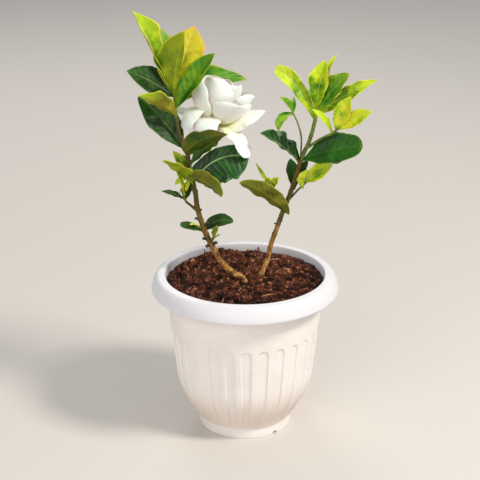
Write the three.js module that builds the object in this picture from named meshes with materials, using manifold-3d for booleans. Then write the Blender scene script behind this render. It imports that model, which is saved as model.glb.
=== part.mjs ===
// Potted gardenia: a fluted plastic pot, its soil, and two rooted woody stems, one of them in flower.
// Millimetres, +Z up. The origin is on the pot's axis, at the surface that the pot stands on.
// -Y is the front, where one channel of the pot's fluting is nearly central.
import * as THREE from "three";
import { mergeVertices } from "three/addons/utils/BufferGeometryUtils.js";
import Module from "manifold-3d";

const wasm = await Module();
wasm.setup();

// Driving dimensions of the pot
const RIM_RADIUS = 100;
const RIM_Z = 173;
const LIP_Z = 155;
const LIP_RADIUS = 96.7;
const MOUTH_RADIUS = 85.3;
const FOOT_RADIUS = 50.4;
const FOOT_Z = 12;
const CONE_RADIUS = 51.9;
const SHOULDER_RADIUS = 72.5;
const SHOULDER_Z = 46;
const SHOULDER_ROUND = 16;
const NECK_RADIUS = 83.9;
const NECK_Z = 152;
const WALL_FLUTED = 2.9;
const WALL_PLAIN = 1.6;
const FLOOR_Z = 6;

// Fluting: shallow channels from the foot to two thirds of the height, with round tops
const FLUTES = 28;
const FLUTE_TURN = 1.2;
const FLUTE_SHARE = 0.66;
const FLUTE_SIDE = 0.1;
const FLUTE_DEPTH = 1.5;
const FLUTE_BOTTOM = 15.5;
const FLUTE_TOP = 116.5;
const STEP_Z = 138.5;

// Underside: foot ring, recess with drain holes, and a flat pad in the middle
const PAD_RADIUS = 20;
const RECESS_RADIUS = 43;
const RECESS_Z = 3;
const DRAINS = 6;
const DRAIN_RADIUS = 4.5;
const NOTCH_RADIUS = 4;
const NOTCH_TURN = 40;

// Soil and the gap that touching pieces keep
const GAP = 0.3;
const SOIL_Z = 165.5;
const SOIL_MOUND = 1.5;
const SOIL_LUMP = 2.2;
const SOIL_SECTORS = 36;
const SECTORS = 48;

// Blades: leaves and petals
const LEAF_THICK = 0.8;
const PETAL_THICK = 0.9;
const STALK_HALF = 0.9;

const DEG = Math.PI / 180;

const mix = THREE.MathUtils.lerp;
const clamp = THREE.MathUtils.clamp;

// A seeded draw between 0 and 1
function draws(seed) {
  let state = seed;
  return () => {
    state = (state * 1664525 + 1013904223) >>> 0;
    return state / 4294967296;
  };
}

// A solid from a three.js geometry: like vertices are merged and collapsed triangles dropped
function solidOfGeometry(geometry) {
  const bare = geometry.clone();
  bare.deleteAttribute("normal");
  bare.deleteAttribute("uv");
  const merged = mergeVertices(bare, 1e-4);
  const triangles = [];
  for (let i = 0; i < merged.index.count; i += 3) {
    const [a, b, c] = [0, 1, 2].map((k) => merged.index.getX(i + k));
    if (a !== b && b !== c && c !== a) triangles.push(a, b, c);
  }
  const mesh = new wasm.Mesh({
    numProp: 3,
    vertProperties: new Float32Array(merged.attributes.position.array),
    triVerts: new Uint32Array(triangles),
  });
  return new wasm.Manifold(mesh);
}

function solidOf(vertices, triangles) {
  const geometry = new THREE.BufferGeometry();
  geometry.setAttribute("position", new THREE.Float32BufferAttribute(vertices, 3));
  geometry.setIndex(triangles);
  return solidOfGeometry(geometry);
}

function fuse(solids) {
  return solids.reduce((all, one) => all.add(one));
}

// The largest body of a solid: scraps left inside a stem are dropped, and small cavities filled
function largest(solid) {
  const bodies = solid.decompose();
  return bodies.reduce((best, body) => (body.volume() > best.volume() ? body : best));
}

// A lathe of a closed outline of [radius, z] pairs round the Z axis
function turned(outline, sectors = SECTORS) {
  const points = outline.map(([r, z]) => new THREE.Vector2(r, z));
  const geometry = new THREE.LatheGeometry(points, sectors);
  geometry.rotateX(Math.PI / 2);
  return solidOfGeometry(geometry);
}

// Pot: radius of the plain wall at a height, a cone and a tapered wall with a rounded shoulder
function wallRadius(z) {
  const below = (SHOULDER_RADIUS - CONE_RADIUS) / (SHOULDER_Z - FOOT_Z);
  const above = (NECK_RADIUS - SHOULDER_RADIUS) / (NECK_Z - SHOULDER_Z);
  const past = z - SHOULDER_Z;
  let turnedPart = Math.max(past, 0);
  if (Math.abs(past) < SHOULDER_ROUND) {
    turnedPart = (past + SHOULDER_ROUND) ** 2 / (4 * SHOULDER_ROUND);
  }
  return SHOULDER_RADIUS + below * past + (above - below) * turnedPart;
}

function cavityRadius(z) {
  const thin = clamp((z - STEP_Z - 2) / 10, 0, 1);
  return wallRadius(z) - mix(WALL_FLUTED, WALL_PLAIN, thin);
}

// Rows of the pot's outside from the foot to the rim: [radius, z, channel depth, channel width].
// Where the depth is 0 a channel's floor columns run together with its edge columns.
function potRows() {
  const row = (z, deep, wide) => [wallRadius(z), z, deep, wide];
  return [
    [FOOT_RADIUS, 0, 0, 1],
    [FOOT_RADIUS + 0.5, FOOT_Z - 0.5, 0, 1],
    row(FOOT_Z, 0, 1),
    row(FLUTE_BOTTOM, 0, 1),
    row(FLUTE_BOTTOM + 1.5, 1, 1),
    row(34, 1, 1),
    row(46, 1, 1),
    row(60, 1, 1),
    row(FLUTE_TOP - 6.5, 1, 1),
    row(FLUTE_TOP - 2, 0.9, 0.7),
    row(FLUTE_TOP, 0, 0.3),
    row(STEP_Z - 0.3, 0, 1),
    [wallRadius(STEP_Z) + 0.5, STEP_Z + 0.3, 0, 1],
    [wallRadius(LIP_Z) + 0.3, LIP_Z, 0, 1],
    [LIP_RADIUS, LIP_Z, 0, 1],
    [RIM_RADIUS, LIP_Z + 2.4, 0, 1],
    [RIM_RADIUS, LIP_Z + 4.3, 0, 1],
    [RIM_RADIUS - 4.1, RIM_Z - 3.7, 0, 1],
    [RIM_RADIUS - 6.8, RIM_Z, 0, 1],
  ];
}

// The pot's outside: each channel takes four columns, two at its edges and two on its floor
function potOutside() {
  const pitch = 360 / FLUTES;
  const half = (FLUTE_SHARE * pitch) / 2;
  const columns = [];
  for (let k = 0; k < FLUTES; k++) {
    const middle = -90 + FLUTE_TURN + k * pitch;
    for (const [side, floor] of [[-1, 0], [-1, 1], [1, 1], [1, 0]]) {
      columns.push({ middle, edge: side * half, floor });
    }
  }
  const rows = potRows();
  const vertices = [];
  for (const [radius, z, deep, wide] of rows) {
    for (const { middle, edge, floor } of columns) {
      const inset = deep > 0 ? 1 - 2 * FLUTE_SIDE * floor : 1;
      const angle = (middle + edge * wide * inset) * DEG;
      const r = radius - FLUTE_DEPTH * deep * floor;
      vertices.push(r * Math.cos(angle), r * Math.sin(angle), z);
    }
  }
  const n = columns.length;
  const triangles = [];
  for (let i = 0; i < rows.length - 1; i++) {
    for (let j = 0; j < n; j++) {
      const a = i * n + j;
      const b = i * n + ((j + 1) % n);
      triangles.push(a, b, b + n, a, b + n, a + n);
    }
  }
  const low = rows.length * n;
  const high = low + 1;
  vertices.push(0, 0, 0, 0, 0, RIM_Z);
  for (let j = 0; j < n; j++) {
    const next = (j + 1) % n;
    const top = (rows.length - 1) * n;
    triangles.push(low, next, j, high, top + j, top + next);
  }
  return solidOf(vertices, triangles);
}

const CAVITY_LEVELS = [FLOOR_Z, 34, 48, 62, STEP_Z + 2, NECK_Z];

function potSolid() {
  const cavity = [[0, FLOOR_Z], ...CAVITY_LEVELS.map((z) => [cavityRadius(z), z])];
  cavity.push([MOUTH_RADIUS, RIM_Z - 1], [MOUTH_RADIUS + 0.8, RIM_Z + 1], [0, RIM_Z + 1]);
  const lipHollow = [[87, LIP_Z - 1], [94.8, LIP_Z - 1], [94.2, 167], [87.6, 167], [87, LIP_Z - 1]];
  const recess = [
    [PAD_RADIUS, -1],
    [RECESS_RADIUS, -1],
    [RECESS_RADIUS, RECESS_Z],
    [PAD_RADIUS, RECESS_Z],
    [PAD_RADIUS, -1],
  ];
  let pot = potOutside().subtract(turned(cavity));
  pot = pot.subtract(turned(lipHollow, 36)).subtract(turned(recess, 32));
  for (let k = 0; k < DRAINS; k++) {
    const hole = new THREE.CylinderGeometry(DRAIN_RADIUS, DRAIN_RADIUS, 3 * FLOOR_Z, 12);
    hole.rotateX(Math.PI / 2);
    hole.translate((PAD_RADIUS + RECESS_RADIUS) / 2, 0, FLOOR_Z);
    hole.rotateZ((k * 2 * Math.PI) / DRAINS);
    pot = pot.subtract(solidOfGeometry(hole));
  }
  for (const turn of [NOTCH_TURN, NOTCH_TURN + 180]) {
    const notch = new THREE.CylinderGeometry(NOTCH_RADIUS, NOTCH_RADIUS, 20, 12);
    notch.translate(0, -FOOT_RADIUS, 0);
    notch.rotateZ(turn * DEG);
    pot = pot.subtract(solidOfGeometry(notch));
  }
  return pot;
}

// Soil: fills the pot's cavity, with a lumpy top that is calmer in the middle
function soilSolid() {
  const draw = draws(7);
  const n = SOIL_SECTORS;
  const topRadius = MOUTH_RADIUS - 1.5;
  const vertices = [];
  const push = (r, k, z) => {
    const angle = (k * 2 * Math.PI) / n;
    vertices.push(r * Math.sin(angle), -r * Math.cos(angle), z);
  };
  const sides = CAVITY_LEVELS.slice(0, -1);
  for (const z of sides) {
    for (let k = 0; k < n; k++) push(cavityRadius(z) - GAP - 0.1, k, Math.max(z, FLOOR_Z + GAP));
  }
  const rings = [topRadius, 73, 61, 48, 35, 21];
  rings.forEach((r, i) => {
    const reach = i === 0 ? 0.3 : clamp(r / 45, 0.4, 1);
    for (let k = 0; k < n; k++) {
      const z = SOIL_Z + SOIL_MOUND * (1 - r / topRadius) + SOIL_LUMP * reach * (2 * draw() - 1);
      push(r, k + (i % 2) * 0.5 + (i === 0 ? 0 : 0.4 * (draw() - 0.5)), z);
    }
  });
  const rows = sides.length + rings.length;
  const triangles = [];
  for (let i = 0; i < rows - 1; i++) {
    for (let k = 0; k < n; k++) {
      const a = i * n + k;
      const b = i * n + ((k + 1) % n);
      const ahead = i >= sides.length && (i - sides.length) % 2 === 1;
      if (ahead) triangles.push(a, b, a + n, b, b + n, a + n);
      else triangles.push(a, b, b + n, a, b + n, a + n);
    }
  }
  const low = rows * n;
  const last = (rows - 1) * n;
  vertices.push(0, 0, FLOOR_Z + GAP, 0, 0, SOIL_Z + SOIL_MOUND);
  for (let k = 0; k < n; k++) {
    const next = (k + 1) % n;
    triangles.push(low, next, k, low + 1, last + k, last + next);
  }
  return solidOf(vertices, triangles);
}

// A round tube along a smooth curve through [x, y, z] points, with a radius at each point
function tube(points, radii, sides = 8, grow = 0) {
  const curve = new THREE.CatmullRomCurve3(points.map((p) => new THREE.Vector3(...p)));
  const steps = points.length > 2 ? 2 * (points.length - 1) : 1;
  const vertices = [];
  for (let i = 0; i <= steps; i++) {
    const u = i / steps;
    const at = curve.getPoint(u);
    const along = curve.getTangent(u);
    const across = new THREE.Vector3(0, 1, 0).cross(along).normalize();
    const other = new THREE.Vector3().crossVectors(along, across);
    const place = u * (radii.length - 1);
    const k = Math.min(Math.floor(place), radii.length - 2);
    const radius = mix(radii[k], radii[k + 1], place - k) + grow;
    for (let j = 0; j < sides; j++) {
      const angle = (j * 2 * Math.PI) / sides;
      const p = at.clone().addScaledVector(across, radius * Math.cos(angle));
      p.addScaledVector(other, radius * Math.sin(angle));
      vertices.push(p.x, p.y, p.z);
    }
  }
  const triangles = [];
  for (let i = 0; i < steps; i++) {
    for (let j = 0; j < sides; j++) {
      const a = i * sides + j;
      const b = i * sides + ((j + 1) % sides);
      triangles.push(a, b, b + sides, a, b + sides, a + sides);
    }
  }
  for (let j = 1; j < sides - 1; j++) {
    const top = steps * sides;
    triangles.push(0, j + 1, j, top, top + j, top + j + 1);
  }
  return solidOf(vertices, triangles);
}

// A blade grown from a point. turn is its compass angle (0 is +X, 90 is +Y), rise its angle above level.
// droop lowers it evenly along its length, hook lowers its tip, swing turns it sideways.
// roll and twist turn its face about the midrib, fold is the V of its halves and curl their arch.
// peak is where it is widest, full how blunt its outline is, and the edges wave by wave mm.
// uneven makes the half on its lower or right side wider than the other.
const LEAF = {
  droop: 25, hook: 0, swing: 0, roll: 0, twist: 0, fold: 12, curl: 10,
  wave: 1, waves: 3, peak: 0.52, full: 0.85, uneven: 0, tip: 0.4, thick: LEAF_THICK, long: 6, wide: 2,
};
const SMALL_LEAF = { ...LEAF, wave: 0, long: 4, wide: 1 };
const PETAL = {
  ...LEAF, fold: 0, curl: -25, wave: 1.2, waves: 2, peak: 0.62, full: 0.55, tip: 6, thick: PETAL_THICK,
  long: 5,
};
const CUPPED = { ...PETAL, curl: 75, roll: -12, wave: 0.8, peak: 0.6 };

function bladeFrames(leaf) {
  const frames = [];
  const at = new THREE.Vector3(...leaf.from);
  const n = leaf.long;
  for (let i = 0; i <= n; i++) {
    const t = i / n;
    const rise = (leaf.rise - leaf.droop * t - leaf.hook * t ** 4) * DEG;
    const turn = (leaf.turn + leaf.swing * t) * DEG;
    const along = new THREE.Vector3(
      Math.cos(rise) * Math.cos(turn),
      Math.cos(rise) * Math.sin(turn),
      Math.sin(rise),
    );
    const level = new THREE.Vector3(Math.sin(turn), -Math.cos(turn), 0);
    const upper = new THREE.Vector3().crossVectors(level, along);
    const roll = (leaf.roll + leaf.twist * t) * DEG;
    const face = upper.multiplyScalar(Math.cos(roll)).addScaledVector(level, Math.sin(roll));
    const side = new THREE.Vector3().crossVectors(along, face);
    frames.push({ t, at: at.clone(), face, side });
    at.addScaledVector(along, leaf.length / n);
  }
  return frames;
}

function halfWidth(leaf, t) {
  const power = Math.log(0.5) / Math.log(leaf.peak);
  const outline = Math.sin(Math.PI * t ** power) ** leaf.full;
  const least = mix(STALK_HALF, leaf.tip, t ** 8);
  return Math.max((leaf.width / 2) * (outline || 0), least);
}

function blade(kind, own) {
  const leaf = { ...kind, ...own };
  const across = 2 * leaf.wide;
  const upper = [];
  const lower = [];
  for (const { t, at, face, side } of bladeFrames(leaf)) {
    const half = halfWidth(leaf, t);
    const stalk = Math.max(0, 1 - t * leaf.long);
    const thick = leaf.thick + stalk * (2 * STALK_HALF - leaf.thick);
    for (let j = 0; j <= across; j++) {
      const s = j / leaf.wide - 1;
      const out = Math.abs(s);
      const hand = Math.sign(s);
      const bend = (leaf.fold + leaf.curl * out * 0.5) * DEG;
      const tilt = (leaf.fold + leaf.curl * out) * DEG * (s === 0 ? 0 : 1);
      const phase = 2 * Math.PI * leaf.waves * t + (hand > 0 ? 0 : 2);
      const wave = leaf.wave * Math.sin(phase) * out * out * Math.sin(Math.PI * t);
      const p = at.clone();
      const reach = half * out * (1 + leaf.uneven * hand);
      p.addScaledVector(side, hand * reach * Math.cos(bend));
      p.addScaledVector(face, reach * Math.sin(bend) + wave);
      const normal = face.clone().multiplyScalar(Math.cos(tilt));
      normal.addScaledVector(side, -hand * Math.sin(tilt)).multiplyScalar(thick / 2);
      upper.push(p.clone().add(normal));
      lower.push(p.clone().sub(normal));
    }
  }
  return sheetSolid(upper, lower, leaf.long, across);
}

// A closed sheet between two like grids of points, split into triangles alike on both faces
function sheetSolid(upper, lower, long, across) {
  const vertices = [...upper, ...lower].flatMap((p) => [p.x, p.y, p.z]);
  const row = across + 1;
  const down = upper.length;
  const triangles = [];
  for (let i = 0; i < long; i++) {
    for (let j = 0; j < across; j++) {
      const a = i * row + j;
      const b = a + 1;
      const c = a + row;
      const d = c + 1;
      triangles.push(a, d, b, a, c, d);
      triangles.push(a + down, b + down, d + down, a + down, d + down, c + down);
    }
  }
  const wall = (a, b) => triangles.push(a, b, b + down, a, b + down, a + down);
  for (let i = 0; i < long; i++) {
    wall((i + 1) * row, i * row);
    wall(i * row + across, (i + 1) * row + across);
  }
  for (let j = 0; j < across; j++) {
    wall(j, j + 1);
    wall(long * row + j + 1, long * row + j);
  }
  const solid = solidOf(vertices, triangles);
  return solid.volume() > 0 ? solid : solidOf(vertices, triangles.reverse());
}

// Stems: routes from the cut root end in the soil to the top of the brown wood
const LEFT_ROUTE = [
  [8, -6, 125], [0, -3, 164], [-14, -3, 175], [-25, -4, 187], [-36, -5, 208], [-44, -6, 228],
  [-50, -6, 250], [-52, -7, 268], [-57, -8, 292], [-60, -8, 312], [-67, -8, 330], [-70, -8, 346],
];
const LEFT_RADII = [3.2, 3.2, 3.1, 3.1, 2.9, 2.8, 2.6, 2.5, 2.4, 2.2, 1.8, 1.5];
const RIGHT_ROUTE = [
  [17, 10, 125], [17, 3, 165], [24, 4, 187], [28, 5, 205], [34, 5, 223], [40, 6, 241],
  [47, 7, 259], [53, 8, 279], [58, 8, 296],
];
const RIGHT_RADII = [2.6, 2.6, 2.5, 2.5, 2.5, 2.5, 2.4, 2.3, 2.3];

// Side twigs and stubs of broken twigs or shed leaves: [from, to, first radius, last radius]
const LEFT_TWIGS = [
  [[-49, -6, 245], [-61, -10, 257], 1.8, 1.2],
  [[-2, -3, 167], [-9, -9, 172], 1.8, 1.1],
  [[-44, -6, 228], [-38, -10, 236], 1.4, 0.9],
  [[-36, -5, 207], [-29, -8, 213], 1.6, 1.2],
  [[-38, -5, 213], [-46, -9, 216], 1.3, 0.8],
  [[-36, -5, 208], [-43, -9, 209], 1.2, 0.8],
  [[-48, -6, 238], [-54, -11, 240], 1.3, 0.8],
  [[-50, -6, 243], [-45, -10, 248], 1.1, 0.7],
];
const RIGHT_TWIGS = [
  [[40, 6, 240], [44, 2, 244], 1.6, 1.0],
  [[35, 5, 226], [31, 1, 229], 1.3, 0.8],
];

function stemSolid(route, radii, twigs, grow = 0) {
  const arms = twigs.map(([from, to, first, last]) => tube([from, to], [first, last], 6, grow));
  return fuse([tube(route, radii, 8, grow), ...arms]);
}

// The green top of the left stem with its leaves
const LEFT_SHOOT = [[-70.1, -8, 346.4], [-71, -8, 360], [-73, -8, 378]];
const LEFT_SHOOT_RADII = [1.5, 1.3, 1.1];
const LEFT_TIP_LEAVES = [
  {
    from: [-73, -7, 371], turn: 172, rise: 70, droop: 12, hook: -4, length: 93, width: 33,
    roll: -50, fold: 25, curl: 40,
  },
  { from: [-73, -6, 371], turn: 116, rise: 72, droop: 20, length: 70, width: 30 },
  {
    from: [-73, -9, 371], turn: -34, rise: 83, droop: 12, length: 70, width: 33,
    roll: -58, fold: 8, peak: 0.58, uneven: 0.26,
  },
  {
    from: [-72, -7, 371], turn: 30, rise: 75, droop: 10, length: 71, width: 35,
    roll: 35, fold: 14, peak: 0.62, uneven: 0.15,
  },
  { from: [-71, -8, 356], turn: -13, rise: 61, droop: 12, length: 74, width: 29, roll: 50, fold: 15 },
  { from: [-71, -7, 362], turn: 55, rise: 62, droop: 16, length: 56, width: 20 },
  { from: [-72, -8, 369], turn: -172, rise: 41, droop: 20, length: 55, width: 30, roll: -50 },
  { from: [-70, -8, 349], turn: -139, rise: 44, droop: 24, length: 55, width: 24, roll: 40, fold: 18 },
  { from: [-71, -6, 357], turn: 80, swing: -64, rise: 25, droop: 42, length: 118, width: 27, roll: 55 },
];

// The green top of the right stem with its leaves
const RIGHT_SHOOT = [[58.2, 8, 296.5], [61, 9, 304], [67, 10, 318], [72, 12, 337], [74, 12, 350]];
const RIGHT_SHOOT_RADII = [2.3, 2.2, 2.1, 2, 1.6];
const RIGHT_TIP_LEAVES = [
  {
    from: [72, 11, 342], turn: 165, rise: 64, droop: 16, hook: 50, length: 66, width: 23,
    roll: -70, fold: 25,
  },
  {
    from: [73, 12, 347], turn: 30, rise: 86, droop: 14, length: 50, width: 27,
    roll: 40, fold: 20, peak: 0.6,
  },
  { from: [74, 13, 348], turn: 40, rise: 74, droop: 18, hook: 25, length: 62, width: 15, fold: 25 },
  { from: [74, 13, 346], turn: 30, rise: 50, droop: 20, length: 56, width: 24, roll: 55, fold: 12 },
  {
    from: [74, 11, 345], turn: -6, rise: 37, droop: 4, hook: 20, length: 72, width: 25,
    roll: 65, fold: 20, peak: 0.42,
  },
];

// The bloom, in its own frame: +Z is the flower's axis, turn 0 is to the right, -90 to the front
const BLOOM_AT = [-29, 14, 330];
const BLOOM_TILT = 4;
const BLOOM_NOD = 2;
const INNER_PETALS = [
  { turn: 205, rise: 22, droop: -98, length: 64, width: 46 },
  { turn: 256, rise: 36, droop: -78, length: 60, width: 44 },
  { turn: 306, rise: 15, droop: -64, length: 45, width: 46, curl: 55 },
  { turn: 326, rise: 44, droop: -50, length: 48, width: 42 },
  { turn: 12, rise: 12, droop: -66, length: 46, width: 42 },
  { turn: 70, rise: 50, droop: -48, length: 48, width: 42 },
  { turn: 132, rise: 46, droop: -60, length: 52, width: 42 },
];
const OUTER_PETALS = [
  { turn: 349, rise: 18, droop: -2, length: 51, width: 28, full: 0.9, peak: 0.5, tip: 0.5 },
  { turn: 322, rise: 4, droop: 78, length: 53, width: 24 },
  { turn: 245, rise: 44, droop: 124, length: 42, width: 27, lift: 5 },
  { turn: 214, rise: 62, droop: 160, length: 58, width: 25, lift: 8 },
  { turn: 163, rise: 28, droop: 8, length: 56, width: 24 },
  { turn: 102, rise: 30, droop: 60, length: 46, width: 28 },
  { turn: 45, rise: 24, droop: 60, length: 46, width: 28 },
];
// The tight middle of the bloom, still furled: [radius, height]
const FURLED = [[0, 0], [3, 4], [6.5, 16], [5, 27], [1.5, 32], [0, 32]];

function bloomFrame() {
  const turnOver = new THREE.Euler(-BLOOM_NOD * DEG, BLOOM_TILT * DEG, 0, "YXZ");
  const frame = new THREE.Matrix4().makeRotationFromEuler(turnOver);
  return frame.setPosition(...BLOOM_AT);
}

function placed(solid, frame) {
  return solid.transform(frame.elements);
}

const THROAT_Z = 4;

function petalsSolid() {
  const start = ({ turn, lift = 0 }, out) => {
    return [out * Math.cos(turn * DEG), out * Math.sin(turn * DEG), THROAT_Z + lift];
  };
  const ring = (kind, list, out) => list.map((p) => blade(kind, { from: start(p, out), ...p }));
  const throat = turned([[0, -6], [2.2, -6], [3.4, 2], [6, 8], [5, 14], [0, 16]], 10);
  const petals = [...ring(PETAL, OUTER_PETALS, 3), ...ring(CUPPED, INNER_PETALS, 2)];
  return placed(largest(fuse([throat, turned(FURLED, 7), ...petals])), bloomFrame());
}

// Flower stalk, ovary and narrow calyx lobes, under the petals
const OVARY_TOP = -6.4;

function calyxSolid() {
  const ovary = turned([[0, -19], [1.6, -18.5], [2.6, -14], [2.9, -9], [2.3, OVARY_TOP], [0, OVARY_TOP]], 10);
  const lobes = [];
  for (let k = 0; k < 6; k++) {
    const turn = 60 * k + 20;
    const from = [2 * Math.cos(turn * DEG), 2 * Math.sin(turn * DEG), -11];
    lobes.push(blade(SMALL_LEAF, { from, turn, rise: 62, length: 13, width: 2.6, curl: 0, long: 3 }));
  }
  const head = placed(fuse([ovary, ...lobes]), bloomFrame());
  const top = new THREE.Vector3(0, 0, -18).applyMatrix4(bloomFrame());
  const stalk = tube([[-60, -6, 307], [-50, 2, 309], top.toArray()], [1.7, 1.5, 1.7], 6);
  return fuse([stalk, head]);
}

// Leaves and small shoots that each grow from the wood of a stem, one node each
const LEAVES = {
  left_leaf_dark: [
    { from: [-64, -7, 314], turn: 157, rise: 58, droop: 28, length: 71, width: 33, roll: -50 },
  ],
  left_leaf_under_bloom: [
    {
      from: [-62, -10, 312], turn: -42, rise: 50, droop: 54, length: 69, width: 21,
      roll: -42, fold: 14, peak: 0.4,
    },
  ],
  left_leaf_folded: [
    {
      from: [-57, -11, 297], turn: -4, rise: 52, droop: 18, length: 50, width: 22,
      roll: 42, fold: 28, peak: 0.58,
    },
  ],
  left_leaf_pair: [
    { from: [-57, -11, 284], turn: -156, rise: 42, droop: 8, length: 37, width: 16, roll: 35, twist: -60 },
    {
      from: [-57, -11, 284], turn: -30, rise: 4, droop: 52, hook: 10, length: 43, width: 21,
      roll: -66, full: 0.6,
    },
  ],
  right_large_leaf: [
    {
      from: [60, 7, 296], turn: -18, rise: 29, droop: 24, length: 67, width: 34,
      roll: 52, full: 0.55, peak: 0.58, fold: 6,
    },
  ],
  right_glossy_leaf: [
    { from: [57, 8, 294], turn: -153, rise: 50, droop: 22, length: 61, width: 28, roll: -40, fold: 28 },
  ],
  right_low_leaf: [
    {
      from: [46, 1, 240], turn: -150, rise: 50, droop: 26, length: 76, width: 21,
      roll: 30, wave: 1.8, full: 0.5, peak: 0.42,
    },
  ],
};

const SHOOTS = {
  left_leaf_broad: {
    kind: LEAF,
    stalk: [[[-57, -9, 296], [-53, -12, 290], [-48, -12, 285]], [1.2, 1.1, 1]],
    leaves: [
      {
        from: [-49, -12, 286], turn: 6, rise: 56, droop: 74, length: 61, width: 38,
        roll: 62, uneven: 0.42, full: 0.5, fold: 8,
      },
    ],
  },
  left_pale_shoot: {
    stalk: [[[-55, -7, 280], [-59, -6, 288], [-61, -5, 294]], [1, 0.9, 0.8]],
    leaves: [
      { from: [-60, -6, 289], turn: 160, rise: 62, droop: 20, length: 26, width: 10, roll: -50 },
      { from: [-61, -5, 293], turn: 110, rise: 60, droop: 10, length: 14, width: 7 },
      { from: [-57, -5, 283], turn: 166, rise: -16, droop: 30, length: 20, width: 8, roll: -50 },
    ],
  },
  left_side_shoot: {
    stalk: [[[-61.4, -10.2, 257.3], [-63, -11, 262], [-64, -11, 266]], [1.3, 1.2, 1]],
    leaves: [
      { from: [-62, -11, 260], turn: -170, rise: 34, droop: 22, length: 27, width: 8, roll: -30 },
      { from: [-63, -11, 263], turn: -50, rise: 76, droop: 14, length: 19, width: 13, roll: 60 },
      { from: [-63, -11, 265], turn: -150, rise: 78, droop: 12, length: 29, width: 8, roll: -50 },
    ],
  },
  left_small_leaf: {
    stalk: [[[-45, -7, 227], [-48, -10, 230], [-50, -12, 231]], [0.8, 0.7, 0.7]],
    leaves: [{ from: [-49, -11, 230.5], turn: -150, rise: 40, droop: 50, length: 11, width: 7 }],
  },
  left_low_leaf_a: {
    leaves: [
      { from: [-44, -6, 223], turn: -152, rise: 32, droop: 20, length: 30, width: 12, roll: -36, full: 0.5 },
    ],
  },
  left_low_leaf_b: {
    leaves: [
      { from: [-43, -6, 224], turn: 14, rise: 50, droop: 78, length: 35, width: 15, roll: 50, full: 0.6 },
    ],
  },
  left_bud_leaf: {
    stalk: [[[-36, -6, 210], [-34, -9, 216], [-33, -10, 219]], [1.3, 1.2, 1]],
    leaves: [{ from: [-33, -10, 217], turn: -60, rise: 70, droop: 10, length: 18, width: 6, roll: 40 }],
  },
  right_side_shoot: {
    stalk: [[[63, 8, 309], [76, 3, 320], [89, -3, 329], [96, -6, 336]], [1.5, 1.4, 1.4, 1.2]],
    leaves: [
      { from: [96, -6, 334], turn: -14, rise: 82, droop: 20, length: 37, width: 20, roll: 75, fold: 20 },
      { from: [96, -6, 334], turn: -22, rise: 42, droop: 18, length: 41, width: 18, roll: 60 },
      { from: [89, -3, 329], turn: -165, rise: 72, droop: 44, length: 36, width: 8, roll: -60 },
      { from: [93, -4, 333], turn: 70, rise: 50, droop: 20, length: 24, width: 12 },
    ],
  },
  right_thin_shoot: {
    stalk: [[[58, 7, 300], [58, 5, 322], [54, 3, 338], [49, 0, 350]], [1.1, 0.9, 0.8, 0.8]],
    leaves: [
      { from: [49, 0, 349.5], turn: -155, rise: 64, droop: 26, length: 24, width: 10, roll: -60, fold: 30 },
      { from: [49, 0, 349], turn: 82, rise: 76, droop: 20, length: 18, width: 6 },
      { from: [49, 0, 349], turn: -152, rise: 10, droop: 110, length: 27, width: 12, roll: -20 },
    ],
  },
  right_back_leaf_a: {
    leaves: [{ from: [50, 8, 266], turn: 108, rise: 64, droop: 34, length: 36, width: 15 }],
  },
  right_back_leaf_b: {
    leaves: [{ from: [52, 8, 272], turn: 40, rise: 60, droop: 26, length: 28, width: 11, roll: 30 }],
  },
  right_low_shoot: {
    stalk: [[[45, 7, 252], [56, 4, 266], [65, 1, 276]], [1.2, 1.1, 1]],
    leaves: [
      { from: [64, 1, 275], turn: -12, rise: 34, droop: 0, length: 34, width: 21, roll: 60, fold: 30 },
      { from: [60, 2, 270], turn: -60, rise: 82, droop: 8, length: 23, width: 15, roll: -25, fold: 20 },
    ],
  },
  right_tuft: {
    stalk: [[[39, 6, 244], [34, 6, 257], [30, 2, 265], [26, -3, 271]], [0.9, 0.8, 0.9, 1]],
    leaves: [
      { from: [27, -2, 269], turn: 163, rise: 58, droop: 0, length: 31, width: 7, roll: -60 },
      { from: [28, -1, 268], turn: -120, rise: 40, droop: -50, length: 17, width: 13, fold: 25 },
      { from: [27, -2, 269], turn: 0, rise: 62, droop: 10, length: 15, width: 10, roll: 40 },
    ],
  },
};

// Colours and finishes
function finish(colour, roughness) {
  return new THREE.MeshStandardMaterial({ color: colour, roughness, metalness: 0 });
}
const WHITE_PLASTIC = finish("#eceae6", 0.45);
const DARK_SOIL = finish("#45291e", 0.95);
const BARK = finish("#8a6a40", 0.85);
const LEAF_GREEN = finish("#1f5a22", 0.35);
const YOUNG_GREEN = finish("#8cb81e", 0.45);
const OLD_GREEN = finish("#6d7a14", 0.5);
const PETAL_WHITE = finish("#f6f3e8", 0.55);

// A named mesh whose own origin is the point where the piece is held
function node(name, solid, material, [x, y, z] = [0, 0, 0]) {
  const { vertProperties, triVerts } = solid.getMesh();
  const geometry = new THREE.BufferGeometry();
  geometry.setAttribute("position", new THREE.BufferAttribute(new Float32Array(vertProperties), 3));
  geometry.setIndex(new THREE.BufferAttribute(new Uint32Array(triVerts), 1));
  geometry.translate(-x, -y, -z);
  const mesh = new THREE.Mesh(geometry, material);
  mesh.name = name;
  mesh.position.set(x, y, z);
  return mesh;
}

const stems = {
  left: stemSolid(LEFT_ROUTE, LEFT_RADII, LEFT_TWIGS),
  right: stemSolid(RIGHT_ROUTE, RIGHT_RADII, RIGHT_TWIGS),
};
const stemRoom = {
  left: stemSolid(LEFT_ROUTE, LEFT_RADII, LEFT_TWIGS, GAP + 0.05),
  right: stemSolid(RIGHT_ROUTE, RIGHT_RADII, RIGHT_TWIGS, GAP + 0.05),
};

const shootRoom = {
  left: tube(LEFT_SHOOT, LEFT_SHOOT_RADII, 8, GAP),
  right: tube(RIGHT_SHOOT, RIGHT_SHOOT_RADII, 8, GAP),
};

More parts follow.
